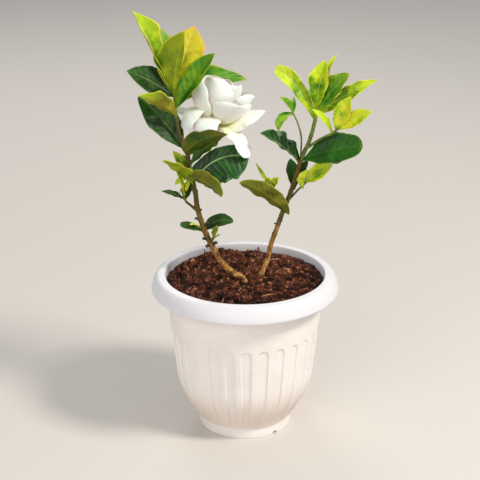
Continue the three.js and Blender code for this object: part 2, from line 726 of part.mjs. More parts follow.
// What is left of a leaf or shoot outside the room of its stem's wood, and of the green shoot above it
function clearOf(rooms, solid) {
  return largest(rooms.reduce((rest, room) => rest.subtract(room), solid));
}

function roomsAt(name) {
  const side = name.startsWith("left") ? "left" : "right";
  return [stemRoom[side], shootRoom[side]];
}

const plant = new THREE.Group();
plant.add(node("left_stem", stems.left, BARK, LEFT_ROUTE[1]));
plant.add(node("right_stem", stems.right, BARK, RIGHT_ROUTE[1]));

const leftTip = fuse([
  tube(LEFT_SHOOT, LEFT_SHOOT_RADII),
  ...LEFT_TIP_LEAVES.map((leaf) => blade(LEAF, leaf)),
]);
plant.add(node("left_tip_leaves", clearOf([stemRoom.left], leftTip), LEAF_GREEN, LEFT_SHOOT[0]));
const rightTip = fuse([
  tube(RIGHT_SHOOT, RIGHT_SHOOT_RADII),
  ...RIGHT_TIP_LEAVES.map((leaf) => blade(LEAF, leaf)),
]);
plant.add(node("right_tip_leaves", clearOf([stemRoom.right], rightTip), YOUNG_GREEN, RIGHT_SHOOT[0]));

for (const [name, leaves] of Object.entries(LEAVES)) {
  const solid = fuse(leaves.map((leaf) => blade(LEAF, leaf)));
  const colour = name.includes("pair") ? OLD_GREEN : LEAF_GREEN;
  plant.add(node(name, clearOf(roomsAt(name), solid), colour, leaves[0].from));
}
for (const [name, shoot] of Object.entries(SHOOTS)) {
  const kind = shoot.kind ?? SMALL_LEAF;
  const stalks = shoot.stalk ? [tube(...shoot.stalk, 5)] : [];
  const solid = fuse([...stalks, ...shoot.leaves.map((leaf) => blade(kind, leaf))]);
  plant.add(node(name, clearOf(roomsAt(name), solid), LEAF_GREEN, shoot.leaves[0].from));
}

plant.add(node("bloom_petals", petalsSolid(), PETAL_WHITE, BLOOM_AT));
plant.add(node("bloom_stalk", clearOf([stemRoom.left], calyxSolid()), YOUNG_GREEN, BLOOM_AT));

const soil = soilSolid().subtract(stemRoom.left).subtract(stemRoom.right);
const holder = new THREE.Group();
holder.add(node("pot", potSolid(), WHITE_PLASTIC));
holder.add(node("soil", largest(soil), DARK_SOIL));

const gardenia = new THREE.Group();
gardenia.name = "potted_gardenia";
gardenia.add(holder, plant);

export default gardenia;
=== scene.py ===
"""Looks of the potted gardenia: fluted white pot, peat, two woody stems, leaves and one bloom."""
import random
from functools import partial
from math import cos, exp, hypot, log, pi, radians, sin, sqrt
from types import SimpleNamespace

import bpy
import numpy as np
from mathutils import Matrix, Vector, noise


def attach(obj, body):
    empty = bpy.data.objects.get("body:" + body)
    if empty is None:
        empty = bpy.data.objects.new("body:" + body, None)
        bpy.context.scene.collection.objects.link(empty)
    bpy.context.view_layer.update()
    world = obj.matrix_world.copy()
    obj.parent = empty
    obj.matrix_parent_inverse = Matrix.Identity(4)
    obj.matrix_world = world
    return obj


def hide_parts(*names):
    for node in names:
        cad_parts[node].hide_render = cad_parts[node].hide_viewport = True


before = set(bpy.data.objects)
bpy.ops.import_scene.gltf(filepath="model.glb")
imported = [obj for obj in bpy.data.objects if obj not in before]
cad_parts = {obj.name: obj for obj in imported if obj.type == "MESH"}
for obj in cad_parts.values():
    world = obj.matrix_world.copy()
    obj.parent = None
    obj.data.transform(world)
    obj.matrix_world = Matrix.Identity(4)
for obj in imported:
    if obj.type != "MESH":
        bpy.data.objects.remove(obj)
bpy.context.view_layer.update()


# Pot
# The pot is one injection-moulded shell of white polypropylene, with shallow round-topped
# channels round the wall, a step under the neck and a rolled lip that is hollow underneath.
# Sizes are in millimetres, and MM turns them into the scene's metres.
MM = 0.001
RIM_RADIUS, RIM_Z, LIP_Z, LIP_RADIUS, MOUTH_RADIUS = 100, 173, 155, 96.7, 85.3
FOOT_RADIUS, FOOT_INSIDE, FOOT_Z, FLOOR_Z, WALL = 50.4, 43, 12, 6, 2.6
CONE_RADIUS, SHOULDER_RADIUS, SHOULDER_Z, SHOULDER_ROUND = 51.9, 72.5, 46, 16
NECK_RADIUS, NECK_Z, STEP_Z, STEP_OUT = 83.9, 152, 138.5, 1.3
FLUTES, FLUTE_TURN, FLUTE_SHARE, FLUTE_DEPTH = 28, 1.2, 0.66, 1.5
FLUTE_BOTTOM, FLUTE_TOP, FLUTE_SIDE = 15.5, 116.5, 0.9
NOTCH_TURNS, NOTCH_RADIUS = (40, 220), 3
DRAIN_HOLES, DRAIN_RING, DRAIN_RADIUS, WEB_RADIUS, PAD_RADIUS = 6, 31.5, 4.5, 43.4, 20
# Places across one flute and its rib, in pitches, close together at the sides of the channel
FLUTE_PLACES = [0, 0.09, 0.18, 0.25, 0.285, 0.305, 0.32, 0.335, 0.37, 0.5]
# How many of the outline's rows lie on the foot ring, and past the lip on the inside
FOOT_ROWS, INSIDE_ROWS = 20, 24


def polar(radius, turn):
    """The x and y of a place that far from the middle."""
    return radius * cos(turn), radius * sin(turn)


def turns(count):
    """So many directions, evenly all round."""
    return [k * 2 * pi / count for k in range(count)]


def smooth(low, high, x):
    """0 before the low end and 1 past the high end, with a soft step between them."""
    t = np.clip((x - low) / (high - low), 0, 1)
    return t * t * (3 - 2 * t)


def wall_radius(z):
    """Outer radius of the wall: a steep cone on a wide one, with a round shoulder between them."""
    below = (SHOULDER_RADIUS - CONE_RADIUS) / (SHOULDER_Z - FOOT_Z)
    above = (NECK_RADIUS - SHOULDER_RADIUS) / (NECK_Z - SHOULDER_Z)
    past = z - SHOULDER_Z
    turned = max(past, 0)
    if abs(past) < SHOULDER_ROUND:
        turned = (past + SHOULDER_ROUND) ** 2 / (4 * SHOULDER_ROUND)
    return SHOULDER_RADIUS + below * past + (above - below) * turned


def rounded(corners):
    """An open outline with its corners cut round in two passes, the ends kept."""
    points = np.array(corners, float)
    for _ in range(2):
        a, b = points[:-1], points[1:]
        cut = np.stack([a * 0.8 + b * 0.2, a * 0.2 + b * 0.8], 1).reshape(-1, 2)
        points = np.concatenate([points[:1], cut, points[-1:]])
    return points


def mesh_object(name, vertices, faces, materials, face_material=None):
    """A new object of a mesh in millimetres, smooth shaded."""
    mesh = bpy.data.meshes.new(name)
    mesh.from_pydata((np.asarray(vertices) * MM).tolist(), [], faces)
    for material in materials:
        mesh.materials.append(material)
    if face_material is not None:
        mesh.polygons.foreach_set("material_index", np.asarray(face_material, np.int32))
    mesh.polygons.foreach_set("use_smooth", np.full(len(mesh.polygons), True))
    mesh.update()
    piece = bpy.data.objects.new(name, mesh)
    bpy.context.scene.collection.objects.link(piece)
    return piece


def ring_faces(rows, columns, ends=False):
    """Quads between rows of vertices, each row a closed ring. The fans that close the ends run to
    their middles, the next two vertices."""
    faces = []
    for i in range(rows - 1):
        for j in range(columns):
            a, b = i * columns + j, i * columns + (j + 1) % columns
            faces.append((a, b, b + columns, a + columns))
    last, middle = (rows - 1) * columns, rows * columns
    for j in range(columns * ends):
        follow = (j + 1) % columns
        faces += [(follow, j, middle), (last + j, last + follow, middle + 1)]
    return faces


def linear(colour):
    """The linear colour of an sRGB hex value."""
    parts = [int(colour[i : i + 2], 16) / 255 for i in (1, 3, 5)]
    return [p / 12.92 if p < 0.04045 else ((p + 0.055) / 1.055) ** 2.4 for p in parts] + [1.0]


def per(size):
    """The scale of a pattern whose grain is so many millimetres wide."""
    return 1 / (size * MM)


def add_node(tree, kind, values=None, links=None, stops=None, **options):
    """Adds a node with its options, socket values, incoming links and colour stops. Values that are
    colours are sRGB hex. A link comes from a socket, or from a node's first output in use."""
    made = tree.nodes.new("ShaderNode" + kind)
    if kind == "Mix":
        made.data_type = "RGBA"
    for key, option in options.items():
        setattr(made, key, option)
    for key, value in (values or {}).items():
        made.inputs[key].default_value = linear(value) if isinstance(value, str) else value
    for key, source in (links or {}).items():
        if isinstance(source, bpy.types.Node):
            source = next(socket for socket in source.outputs if socket.enabled)
        tree.links.new(source, made.inputs[key])
    if stops:
        ramp = made.color_ramp.elements
        while len(ramp) < len(stops):
            ramp.new(0.5)
        for element, (place, colour) in zip(ramp, stops):
            element.position = place
            element.color = linear(colour)
    return made


def make_material(name, surface, *settings):
    """A material. Its surface function gets the function that adds a node and the place on the
    object, and gives back the shader."""
    material = bpy.data.materials.new(name)
    material.use_nodes = True
    tree = material.node_tree
    tree.nodes.clear()
    add = partial(add_node, tree)
    shader = surface(add, add("TexCoord").outputs["Object"], *settings)
    add("OutputMaterial", links={"Surface": shader})
    return material


def moulded_polypropylene(add, at):
    # White polypropylene off a spark-eroded mould: satin, with a little light going in. The wall has
    # slight waves where it cooled unevenly. Its warm tint against the cooler rim, and a cloud of tan low
    # down, are painted warm light bounced up from the ground. The grain of the mould is about 0.1 mm and
    # is drawn six times coarser, so that it shows.
    film = add("TexNoise", {"Scale": per(35.71), "Detail": 5, "Roughness": 0.6}, {"Vector": at})
    height = add("SeparateXYZ", links={"Vector": at}).outputs["Z"]
    # Painted bounce light: a cloud of tan over the wall from just above the foot, fading out by 70 mm.
    low = add("MapRange", {"From Min": 22 * MM, "From Max": 70 * MM, "To Min": 0.8, "To Max": 0},
              {"Value": height}, interpolation_type="SMOOTHSTEP")
    above_foot = add("MapRange", {"From Min": 11.5 * MM, "From Max": 15 * MM}, {"Value": height})
    cloud = add("Math", links={0: low, 1: film}, operation="MULTIPLY")
    painted_bounce = add("Math", links={0: cloud, 1: above_foot}, operation="MULTIPLY")
    # Painted bounce light: the wall is tinted warm, while the rim from the lip up keeps a cool grey-white,
    # though both are one plastic.
    wall = add("ValToRGB", links={"Fac": film}, stops=[(0.3, "#eee7e2"), (0.7, "#f5f0ed")])
    rim = add("MapRange", {"From Min": 153 * MM, "From Max": 157 * MM}, {"Value": height})
    tone = add("Mix", {"B": "#e2e2e7"}, {"Factor": rim, "A": wall})
    colour = add("Mix", {"B": "#cfb49b"}, {"Factor": painted_bounce, "A": tone})
    grain = add("TexNoise", {"Scale": per(0.625), "Detail": 2}, {"Vector": at})
    sink = add("TexNoise", {"Scale": per(33.33), "Detail": 1}, {"Vector": at})
    fine = add("Bump", {"Strength": 0.06, "Distance": 0.2 * MM}, {"Height": grain})
    bump = add("Bump", {"Strength": 0.12, "Distance": MM}, {"Height": sink, "Normal": fine})
    gloss = add("MapRange", {"To Min": 0.34, "To Max": 0.5}, {"Value": film})
    return add("BsdfPrincipled", {"IOR": 1.49, "Subsurface Weight": 0.05, "Subsurface Scale": 2 * MM},
               {"Base Color": colour, "Roughness": gloss, "Normal": bump})


def pot_rows():
    """Rows of the pot's outside and inside, from the foot ring round the lip to the floor."""
    spans = [(FOOT_Z + 2, FLUTE_BOTTOM + 8, 1.1), (FLUTE_BOTTOM + 8, FLUTE_TOP - 10, 3),
             (FLUTE_TOP - 10, FLUTE_TOP + 1.5, 0.6), (FLUTE_TOP + 3, STEP_Z - 1, 4)]
    wall = [(wall_radius(z), z) for span in spans for z in np.arange(*span)]
    foot = rounded([
        (FOOT_INSIDE, 3), (FOOT_INSIDE + 0.2, 0), (FOOT_RADIUS - 0.4, 0), (FOOT_RADIUS, 0.6),
        (FOOT_RADIUS + 0.2, FOOT_Z - 0.9), (FOOT_RADIUS + 0.1, FOOT_Z),
        (wall_radius(FOOT_Z) + 0.3, FOOT_Z + 0.2), wall[0],
    ])
    step, neck = wall_radius(STEP_Z), wall_radius(LIP_Z)
    lip = rounded([
        wall[-1], (step - 0.2, STEP_Z - 0.4), (step + STEP_OUT, STEP_Z), (step + STEP_OUT, STEP_Z + 1),
        (neck + 0.5, LIP_Z), (87.2, 166.5), (94.2, 166.5), (94.9, LIP_Z),
        (LIP_RADIUS + 0.3, LIP_Z - 0.2), (RIM_RADIUS + 0.1, LIP_Z + 2.1),
        (RIM_RADIUS + 0.1, LIP_Z + 4.8), (RIM_RADIUS - 1.3, 165.2), (RIM_RADIUS - 3.5, 170),
        (RIM_RADIUS - 6.4, RIM_Z + 0.6), (MOUTH_RADIUS + 1.4, RIM_Z + 1.5),
        (MOUTH_RADIUS - 0.1, RIM_Z + 0.4), (MOUTH_RADIUS - 0.4, 170), (MOUTH_RADIUS - 0.7, 160),
    ])
    inner = [(wall_radius(z) - WALL, z) for z in np.arange(148, FLOOR_Z, -8)]
    return np.concatenate([foot[:-1], wall[:-1], lip, inner, [(50, FLOOR_Z), (FOOT_INSIDE, FLOOR_Z)]])


def channel_depth(angle, radius, z):
    """How deep the wall is cut at an angle and height: channels with smooth sides and round tops."""
    pitch = 2 * pi / FLUTES
    middle = np.mod(angle - radians(-90 + FLUTE_TURN) + pitch / 2, pitch) - pitch / 2
    half = FLUTE_SHARE * pitch * radius / 2
    past = max(z - FLUTE_TOP + half, 0)
    inside = sqrt(max(half * half - past * past, 0)) - np.abs(middle) * radius
    fade = smooth(FLUTE_BOTTOM - 1, FLUTE_BOTTOM + 9, z)
    return FLUTE_DEPTH * fade * smooth(0, FLUTE_SIDE, inside) * (1 - 0.15 * smooth(FLUTE_SIDE, 6, inside))


def pot_mesh():
    """The moulded shell, with its channels cut in the wall and two notches in the foot ring."""
    rows = pot_rows()
    places = [-p for p in FLUTE_PLACES[-2:0:-1]] + FLUTE_PLACES
    flutes = np.arange(FLUTES)[:, None] + np.array(places)
    angle = (radians(-90 + FLUTE_TURN) + flutes * 2 * pi / FLUTES).ravel()
    columns = len(angle)
    vertices = []
    for i, (radius, z) in enumerate(rows):
        fluted = FOOT_Z + 2 <= z <= FLUTE_TOP + 1 and i < len(rows) - INSIDE_ROWS
        r = radius - (channel_depth(angle, radius, z) if fluted else 0)
        height = np.full(columns, z)
        if radius > FOOT_INSIDE + 0.1 and z < NOTCH_RADIUS + 1.2 and i < FOOT_ROWS:
            for turn in NOTCH_TURNS:
                away = np.mod(angle - radians(turn - 90) + pi, 2 * pi) - pi
                arch = np.sqrt(np.clip(NOTCH_RADIUS**2 - (away * radius) ** 2, 0, None))
                height = np.maximum(height, arch)
        vertices.append(np.stack([r * np.cos(angle), r * np.sin(angle), height], 1))
    faces = ring_faces(len(rows), columns)
    last = columns * (len(rows) - 1)
    faces += [(last + j, last + (j + 1) % columns, (j + 1) % columns, j) for j in range(columns)]
    return np.concatenate(vertices), faces


def disc(radius, depth, middle, sides):
    """A solid disc that lies flat, its middle at a place in millimetres."""
    bpy.ops.mesh.primitive_cylinder_add(vertices=sides, radius=radius * MM, depth=depth * MM,
                                        location=[MM * m for m in middle])
    return bpy.context.object


pot = mesh_object("pot_shell", *pot_mesh(), [make_material("moulded_polypropylene", moulded_polypropylene)])

# Floor of the pot: a flat web with six drain holes, and a pad in the middle that meets the ground.
floor_web = disc(WEB_RADIUS, 3, (0, 0, FLOOR_Z - 1.5), 96)
pad = disc(PAD_RADIUS, 4, (0, 0, 2), 64)
for turn in turns(DRAIN_HOLES):
    place = (*polar(DRAIN_RING, turn), FLOOR_Z - 1.5)
    drill = disc(DRAIN_RADIUS, 12, place, 32)
    cut = floor_web.modifiers.new("drain", "BOOLEAN")
    cut.object = drill
    cut.solver = "EXACT"
    bpy.context.view_layer.objects.active = floor_web
    bpy.ops.object.modifier_apply(modifier=cut.name)
    bpy.data.objects.remove(drill)
with bpy.context.temp_override(active_object=pot, selected_editable_objects=[pot, floor_web, pad]):
    bpy.ops.object.join()
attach(pot, "root")
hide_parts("pot")


# Soil
# Damp peat compost fills the pot to just under the rim. It is crumbly: coarse lumps and bits
# of bark fibre lie on a rough bed, dark brown where wet and rusty where the light catches it.
SOIL_RADIUS, SOIL_Z, SOIL_MOUND = 83.9, 165.5, 1.5
SOIL_BOTTOM, SOIL_CONE, SOIL_GAP = FLOOR_Z + 0.3, 49.5, 3.2
SECTORS, RINGS = 260, 86
# How many, how finely divided, the least and the greatest radius, and the share drawn out to slivers
LUMPS, CRUMBS = (500, 2, 0.9, 3, 0.25), (4300, 1, 0.45, 1.5, 0.55)


def peat(add, at, tones):
    # Sphagnum peat: matt and deep brown, with rust-coloured fibres and a few grey grains. Painted shade
    # darkens the low hollows between the crumbs nearly to black. The grains are drawn 2 mm wide, coarser
    # than life, so that they show.
    lumps = add("TexNoise", {"Scale": per(11.11), "Detail": 8, "Roughness": 0.7}, {"Vector": at})
    colour = add("ValToRGB", links={"Fac": lumps}, stops=list(zip((0.28, 0.45, 0.6, 0.78), tones)))
    cells = add("TexVoronoi", {"Scale": per(2.381)}, {"Vector": at})
    specks = add("MapRange", {"From Min": 0.7, "From Max": 0.95, "To Max": 0.6}, {"Value": cells})
    specked = add("Mix", {"B": "#8c6a50"}, {"Factor": specks, "A": colour})
    height = add("SeparateXYZ", links={"Vector": at}).outputs["Z"]
    # Painted shade: the lower the bed lies under 168 mm, the nearer it is darkened to black, in the hollows
    # between the clods.
    deep = add("MapRange", {"From Min": 168 * MM, "From Max": 163.7 * MM, "To Max": 0.93},
               {"Value": height})
    mixed = add("Mix", {"B": "#120604"}, {"Factor": deep, "A": specked})
    rough = add("TexNoise", {"Scale": per(1.429), "Detail": 7, "Roughness": 0.8}, {"Vector": at})
    bump = add("Bump", {"Strength": 1, "Distance": 2 * MM}, {"Height": rough})
    return add("BsdfPrincipled", {"Roughness": 0.86, "Specular IOR Level": 0.25},
               {"Base Color": mixed, "Normal": bump})


def soil_height(x, y):
    """Height of the bed: a low mound with a rise at the back left, broken up into clods."""
    r = hypot(x, y)
    base = SOIL_Z + SOIL_MOUND * (1 - r / SOIL_RADIUS)
    coarse = noise.noise(Vector((x, y, 3)) * 0.06) * 2.2 + 1.2 * y / SOIL_RADIUS
    coarse += 4.5 * exp(-(((x + 22) / 22) ** 2 + ((y - 66) / 15) ** 2))
    clods = 3.2 - 5.5 * noise.voronoi(Vector((x, y, 9)) * 0.13)[0][0]
    fine = noise.fractal(Vector((x, y, 5)) * 0.5, 0.7, 2.1, 4) * 1.9
    middle = 1 - 0.55 * float(smooth(SOIL_RADIUS - 7, SOIL_RADIUS, r))
    return base + coarse + (1.35 * clods + fine) * middle - 1.2


def soil_mesh():
    """The closed body of soil, plain where the pot hides it and rough on top."""
    vertices = []
    for z in (SOIL_BOTTOM, 12, 30, 40, 46, 52, 62, 138, 162):
        r = min(wall_radius(z) - SOIL_GAP, SOIL_CONE if z < FOOT_Z else SOIL_RADIUS)
        vertices += [(*polar(r, turn), z) for turn in turns(SECTORS)]
    side_rows = len(vertices) // SECTORS
    for i in range(RINGS):
        r = SOIL_RADIUS * (1 - i / RINGS)
        for k in range(SECTORS):
            turn = (k + 0.5 * (i % 2)) * 2 * pi / SECTORS
            x, y = polar(r, turn)
            vertices.append((x, y, soil_height(x, y)))
    vertices += [(0, 0, SOIL_BOTTOM), (0, 0, soil_height(0, 0))]
    return vertices, ring_faces(side_rows + RINGS, SECTORS, True)


def crumb_shapes(steps):
    """A few rough lumps to scatter, each a unit ball pushed in and out by noise."""
    bpy.ops.mesh.primitive_ico_sphere_add(subdivisions=steps, radius=1)
    ball = bpy.context.object
    points = np.array([v.co for v in ball.data.vertices])
    faces = [tuple(p.vertices) for p in ball.data.polygons]
    bpy.data.objects.remove(ball)
    shapes = []
    for k in range(12):
        push = [1 + 0.6 * noise.noise(Vector(p) * 1.3 + Vector((7 * k, 0, 0)))
                + 0.55 * noise.noise(Vector(p) * 3.3 + Vector((0, 5 * k, 0))) for p in points]
        shapes.append(points * np.array(push)[:, None])
    return shapes, faces


def scatter(count, steps, least, most, slivers):
    """Lumps or crumbs lying all over the bed, some of them drawn out to slivers of bark."""
    draw = random.Random(9 + steps)
    shapes, faces = crumb_shapes(steps)
    lumps = []
    for k in range(count):
        r = (SOIL_RADIUS - 2.5) * sqrt(draw.random())
        turn = draw.random() * 2 * pi
        x, y = polar(r, turn)
        size = least + (most - least) * draw.random() ** 2.2
        stretch, lean = np.diag([1, 0.6 + 0.5 * draw.random(), 0.5 + 0.4 * draw.random()]), 0.5
        if draw.random() < slivers:
            stretch, lean = np.diag([2 + 1.6 * draw.random(), 0.4, 0.3]), 1.1
        spin = np.array(Matrix.Rotation(draw.random() * 2 * pi, 3, "Z")
                        @ Matrix.Rotation((draw.random() - 0.5) * lean, 3, "Y"))
        shape = shapes[k % len(shapes)] @ stretch @ spin.T * size
        lumps.append((shape + [x, y, soil_height(x, y) + 0.3 * size], faces))
    return lumps


def joined(parts):
    """The vertices and the faces of several meshes as one."""
    faces, first = [], 0
    for part_vertices, part_faces in parts:
        faces += [tuple(first + i for i in face) for face in part_faces]
        first += len(part_vertices)
    return np.concatenate([vertices for vertices, _ in parts]), faces


damp_peat = make_material("damp_peat", peat, ("#150704", "#4a2213", "#8a4d34", "#dc946c"))
dry_peat = make_material("dry_crumbs", peat, ("#5a2f1c", "#a06344", "#d69a74", "#f4c8a2"))
parts = [soil_mesh()]
dry = [0] * len(parts[0][1])
for kind in (LUMPS, CRUMBS):
    lumps = scatter(*kind)
    dry += [int(k % 3 == 0) for k, (_, faces) in enumerate(lumps) for _ in faces]
    parts += lumps
soil = mesh_object("peat_bed", *joined(parts), [damp_peat, dry_peat], dry)
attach(soil, "root")
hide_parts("soil")


# Stems
# Two rooted cuttings share the pot. Their lower wood is tan-brown bark with leaf scars, knots
# and stubs of shed twigs, and it runs into green young wood at the top.
LEFT_ROUTE = [
    (8, -6, 125), (0, -3, 164), (-14, -3, 175), (-25, -4, 187), (-36, -5, 208), (-44, -6, 228),
    (-50, -6, 250), (-52, -7, 268), (-57, -8, 292), (-60, -8, 312), (-67, -8, 330), (-70, -8, 346),
]
LEFT_RADII = [3.2, 3.2, 3.1, 3.1, 2.9, 2.8, 2.6, 2.5, 2.4, 2.2, 1.8, 1.5]
RIGHT_ROUTE = [
    (17, 10, 125), (17, 3, 165), (24, 4, 187), (28, 5, 205), (34, 5, 223), (40, 6, 241),
    (47, 7, 259), (53, 8, 279), (58, 8, 296),
]
RIGHT_RADII = [2.6, 2.6, 2.5, 2.5, 2.5, 2.5, 2.4, 2.3, 2.3]
# Side twigs, the live ones first: start, end, and the radius at each
LEFT_LIVE, LEFT_TWIGS = 1, [
    ((-49, -6, 245), (-61, -10, 257), 1.8, 1.2), ((-2, -3, 167), (-7, -9, 171), 2.4, 1.8),
    ((-43, -6, 229), (-38.5, -9, 234), 2.2, 1.5), ((-36, -5, 207), (-30, -8, 211), 2.4, 1.7),
    ((-39, -5, 214), (-44, -9, 216), 2.2, 1.5), ((-36, -5, 207), (-41, -9, 207), 2.3, 1.6),
    ((-47, -6, 236), (-52, -10, 239), 2.1, 1.2), ((-50, -6, 244), (-46, -9, 248), 1.9, 1.3),
]
RIGHT_LIVE, RIGHT_TWIGS = 0, [
    ((40, 6, 240), (44, 2, 244), 1.6, 1.0), ((35, 5, 226), (31, 1, 229), 1.3, 0.8),
]
# How many sides wood has, in how many steps it runs, how rough it is and how far its knots swell
STEM_WOOD, TWIG_WOOD = (28, 16, 0.16, 0.22), (14, 7, 0.2, 0.1)


def smooth_route(points, radii, steps):
    """Points and radii along a smooth curve through the given ones."""
    p = np.array([points[0], *points, points[-1]], float)
    p[0] = 2 * p[1] - p[2]
    p[-1] = 2 * p[-2] - p[-3]
    out = []
    for i in range(len(points) - 1):
        a, b, c, d = p[i : i + 4]
        for t in np.linspace(0, 1, steps, endpoint=False):
            out.append(0.5 * (2 * b + (c - a) * t + (2 * a - 5 * b + 4 * c - d) * t**2
                              + (3 * b - a - 3 * c + d) * t**3))
    out.append(p[-2])
    places = np.linspace(0, len(radii) - 1, len(out))
    return np.array(out), np.interp(places, range(len(radii)), radii)


def twig_mesh(points, radii, sides, steps, rough, knots, seed=0.0):
    """A closed round twig, its bark roughened and swollen at the knots."""
    route, radius = smooth_route(points, radii, steps)
    along = np.gradient(route, axis=0)
    along /= np.linalg.norm(along, axis=1)[:, None]
    across = np.cross([0, 1, 0], along)
    across /= np.linalg.norm(across, axis=1)[:, None]
    other = np.cross(along, across)
    length = np.concatenate([[0], np.cumsum(np.linalg.norm(np.diff(route, axis=0), axis=1))])
    vertices = []
    for i in range(len(route)):
        knot = knots * max(0, cos(length[i] * 0.38 + seed)) ** 14
        for turn in turns(sides):
            out = across[i] * cos(turn) + other[i] * sin(turn)
            grain = noise.noise(Vector(out * 2.2) + Vector((0, 0, length[i] * 0.25 + seed)))
            flake = noise.noise(Vector(out * 4.5) + Vector((seed, 0, length[i] * 0.8)))
            vertices.append(route[i] + out * (radius[i] * (1 + rough * (grain + 0.5 * flake) + knot)))
    return np.array(vertices + [route[0], route[-1]]), ring_faces(len(route), sides, True)


def bark(add, at, tones, scar):
    # Young gardenia bark: thin and matt, tan where the sun bleaches it, dark in the cracks that run
    # along it, and browner and greener higher up. The cracks are drawn 2 mm apart, about as in life.
    squeezed = add("Mapping", {"Scale": (1, 1, 0.14)}, {"Vector": at})
    streaks = add("TexNoise", {"Scale": per(1.923), "Detail": 6, "Roughness": 0.65}, {"Vector": squeezed})
    patches = add("TexNoise", {"Scale": per(9.091), "Detail": 4}, {"Vector": at})
    colour = add("ValToRGB", links={"Fac": streaks}, stops=list(zip((0.32, 0.48, 0.66), tones)))
    scars = add("MapRange", {"From Min": 0.54, "From Max": 0.62, "To Max": scar}, {"Value": patches})
    scarred = add("Mix", {"B": "#2a1a0a"}, {"Factor": scars, "A": colour})
    height = add("SeparateXYZ", links={"Vector": at}).outputs["Z"]
    high = add("MapRange", {"From Min": 185 * MM, "From Max": 250 * MM, "To Max": 0.9}, {"Value": height})
    green = add("Math", links={0: patches, 1: high}, operation="MULTIPLY")
    shade = add("Mix", {"B": "#7c5c3a"}, {"Factor": high, "A": scarred}, blend_type="MULTIPLY")
    soft = add("Mix", {"B": "#5c6428"}, {"Factor": green, "A": shade})
    bump = add("Bump", {"Strength": 0.5, "Distance": 0.6 * MM}, {"Height": streaks})
    return add("BsdfPrincipled", {"Roughness": 0.8, "Specular IOR Level": 0.3},
               {"Base Color": soft, "Normal": bump})


def woody_stem(name, node, route, radii, twigs, live):
    """A stem with its side twigs: the first ones live, the others dead stubs."""
    parts = [twig_mesh(route, radii, *STEM_WOOD, len(twigs))]
    for k, (start, end, thick, thin) in enumerate(twigs):
        middle = [(a + b) / 2 + 0.4 * (k % 2) for a, b in zip(start, end)]
        parts.append(twig_mesh([start, middle, end], [thick, thin * 1.1, thin], *TWIG_WOOD, k))
    dead = [int(k > live) for k, (_, faces) in enumerate(parts) for _ in faces]
    piece = mesh_object(name, *joined(parts), [live_bark, dead_bark], dead)
    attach(piece, "root")
    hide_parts(node)


live_bark = make_material("gardenia_bark", bark, ("#5a3814", "#a67334", "#e0ac6a"), 0.75)
dead_bark = make_material("dead_stubs", bark, ("#24160a", "#4a3018", "#7c5730"), 0.5)
woody_stem("left_wood", "left_stem", LEFT_ROUTE, LEFT_RADII, LEFT_TWIGS, LEFT_LIVE)
woody_stem("right_wood", "right_stem", RIGHT_ROUTE, RIGHT_RADII, RIGHT_TWIGS, RIGHT_LIVE)


# Leafy tops
# Each stem ends in a green shoot with leaves all round it. They are leathery blades with a pale
# midrib and some nine pairs of sunken side veins. The upper side is waxy and quilted between the
# veins, the underside matt and paler.
VEIN_PAIRS, VEIN_SLANT = 9, 1.5
# In how many rows along and columns across each half a blade is made, and the green stalks' wood
LARGE_GRID, SMALL_GRID, GREEN_WOOD = (60, 10), (36, 6), (14, 12, 0.05, 0.12)
# Angles in degrees: droop, hook and swing bend a blade along its length, roll and twist turn it about
# its length, fold and curl bend its halves up. Lengths in millimetres: wave, ruffle, quilt, thick,
# tip and stalk. Shares: peak is where it is widest, full how round it is, claw how wide at its foot.
LEAF = dict(droop=25, hook=0, swing=0, roll=0, twist=0, fold=12, curl=10, wave=1, waves=3,
            peak=0.52, full=0.85, uneven=0, tip=0.4, thick=0.55, stalk=0.9, quilt=0.4, ruffle=1.3,
            blunt=0, claw=0.28, nick=0.055)
SMALL_LEAF = dict(LEAF, wave=0.4, quilt=0.2, ruffle=0.6)


def half_width(form, t):
    """Half the width of a blade at a place along it: a pointed leaf, or a blunt leaf or petal."""
    peak, claw, blunt = form.peak, form.claw, form.blunt
    if not blunt:
        share = abs(sin(pi * t ** (log(0.5) / log(peak)))) ** form.full
    elif t < peak:
        share = claw + (1 - claw) * sin(pi / 2 * t / peak) ** 1.2
    else:
        share = max(1 - ((t - peak) / (1 - peak)) ** blunt, 0) ** (1 / blunt)
    least = form.stalk + (form.tip - form.stalk) * t**8
    return max(form.width / 2 * share, least)


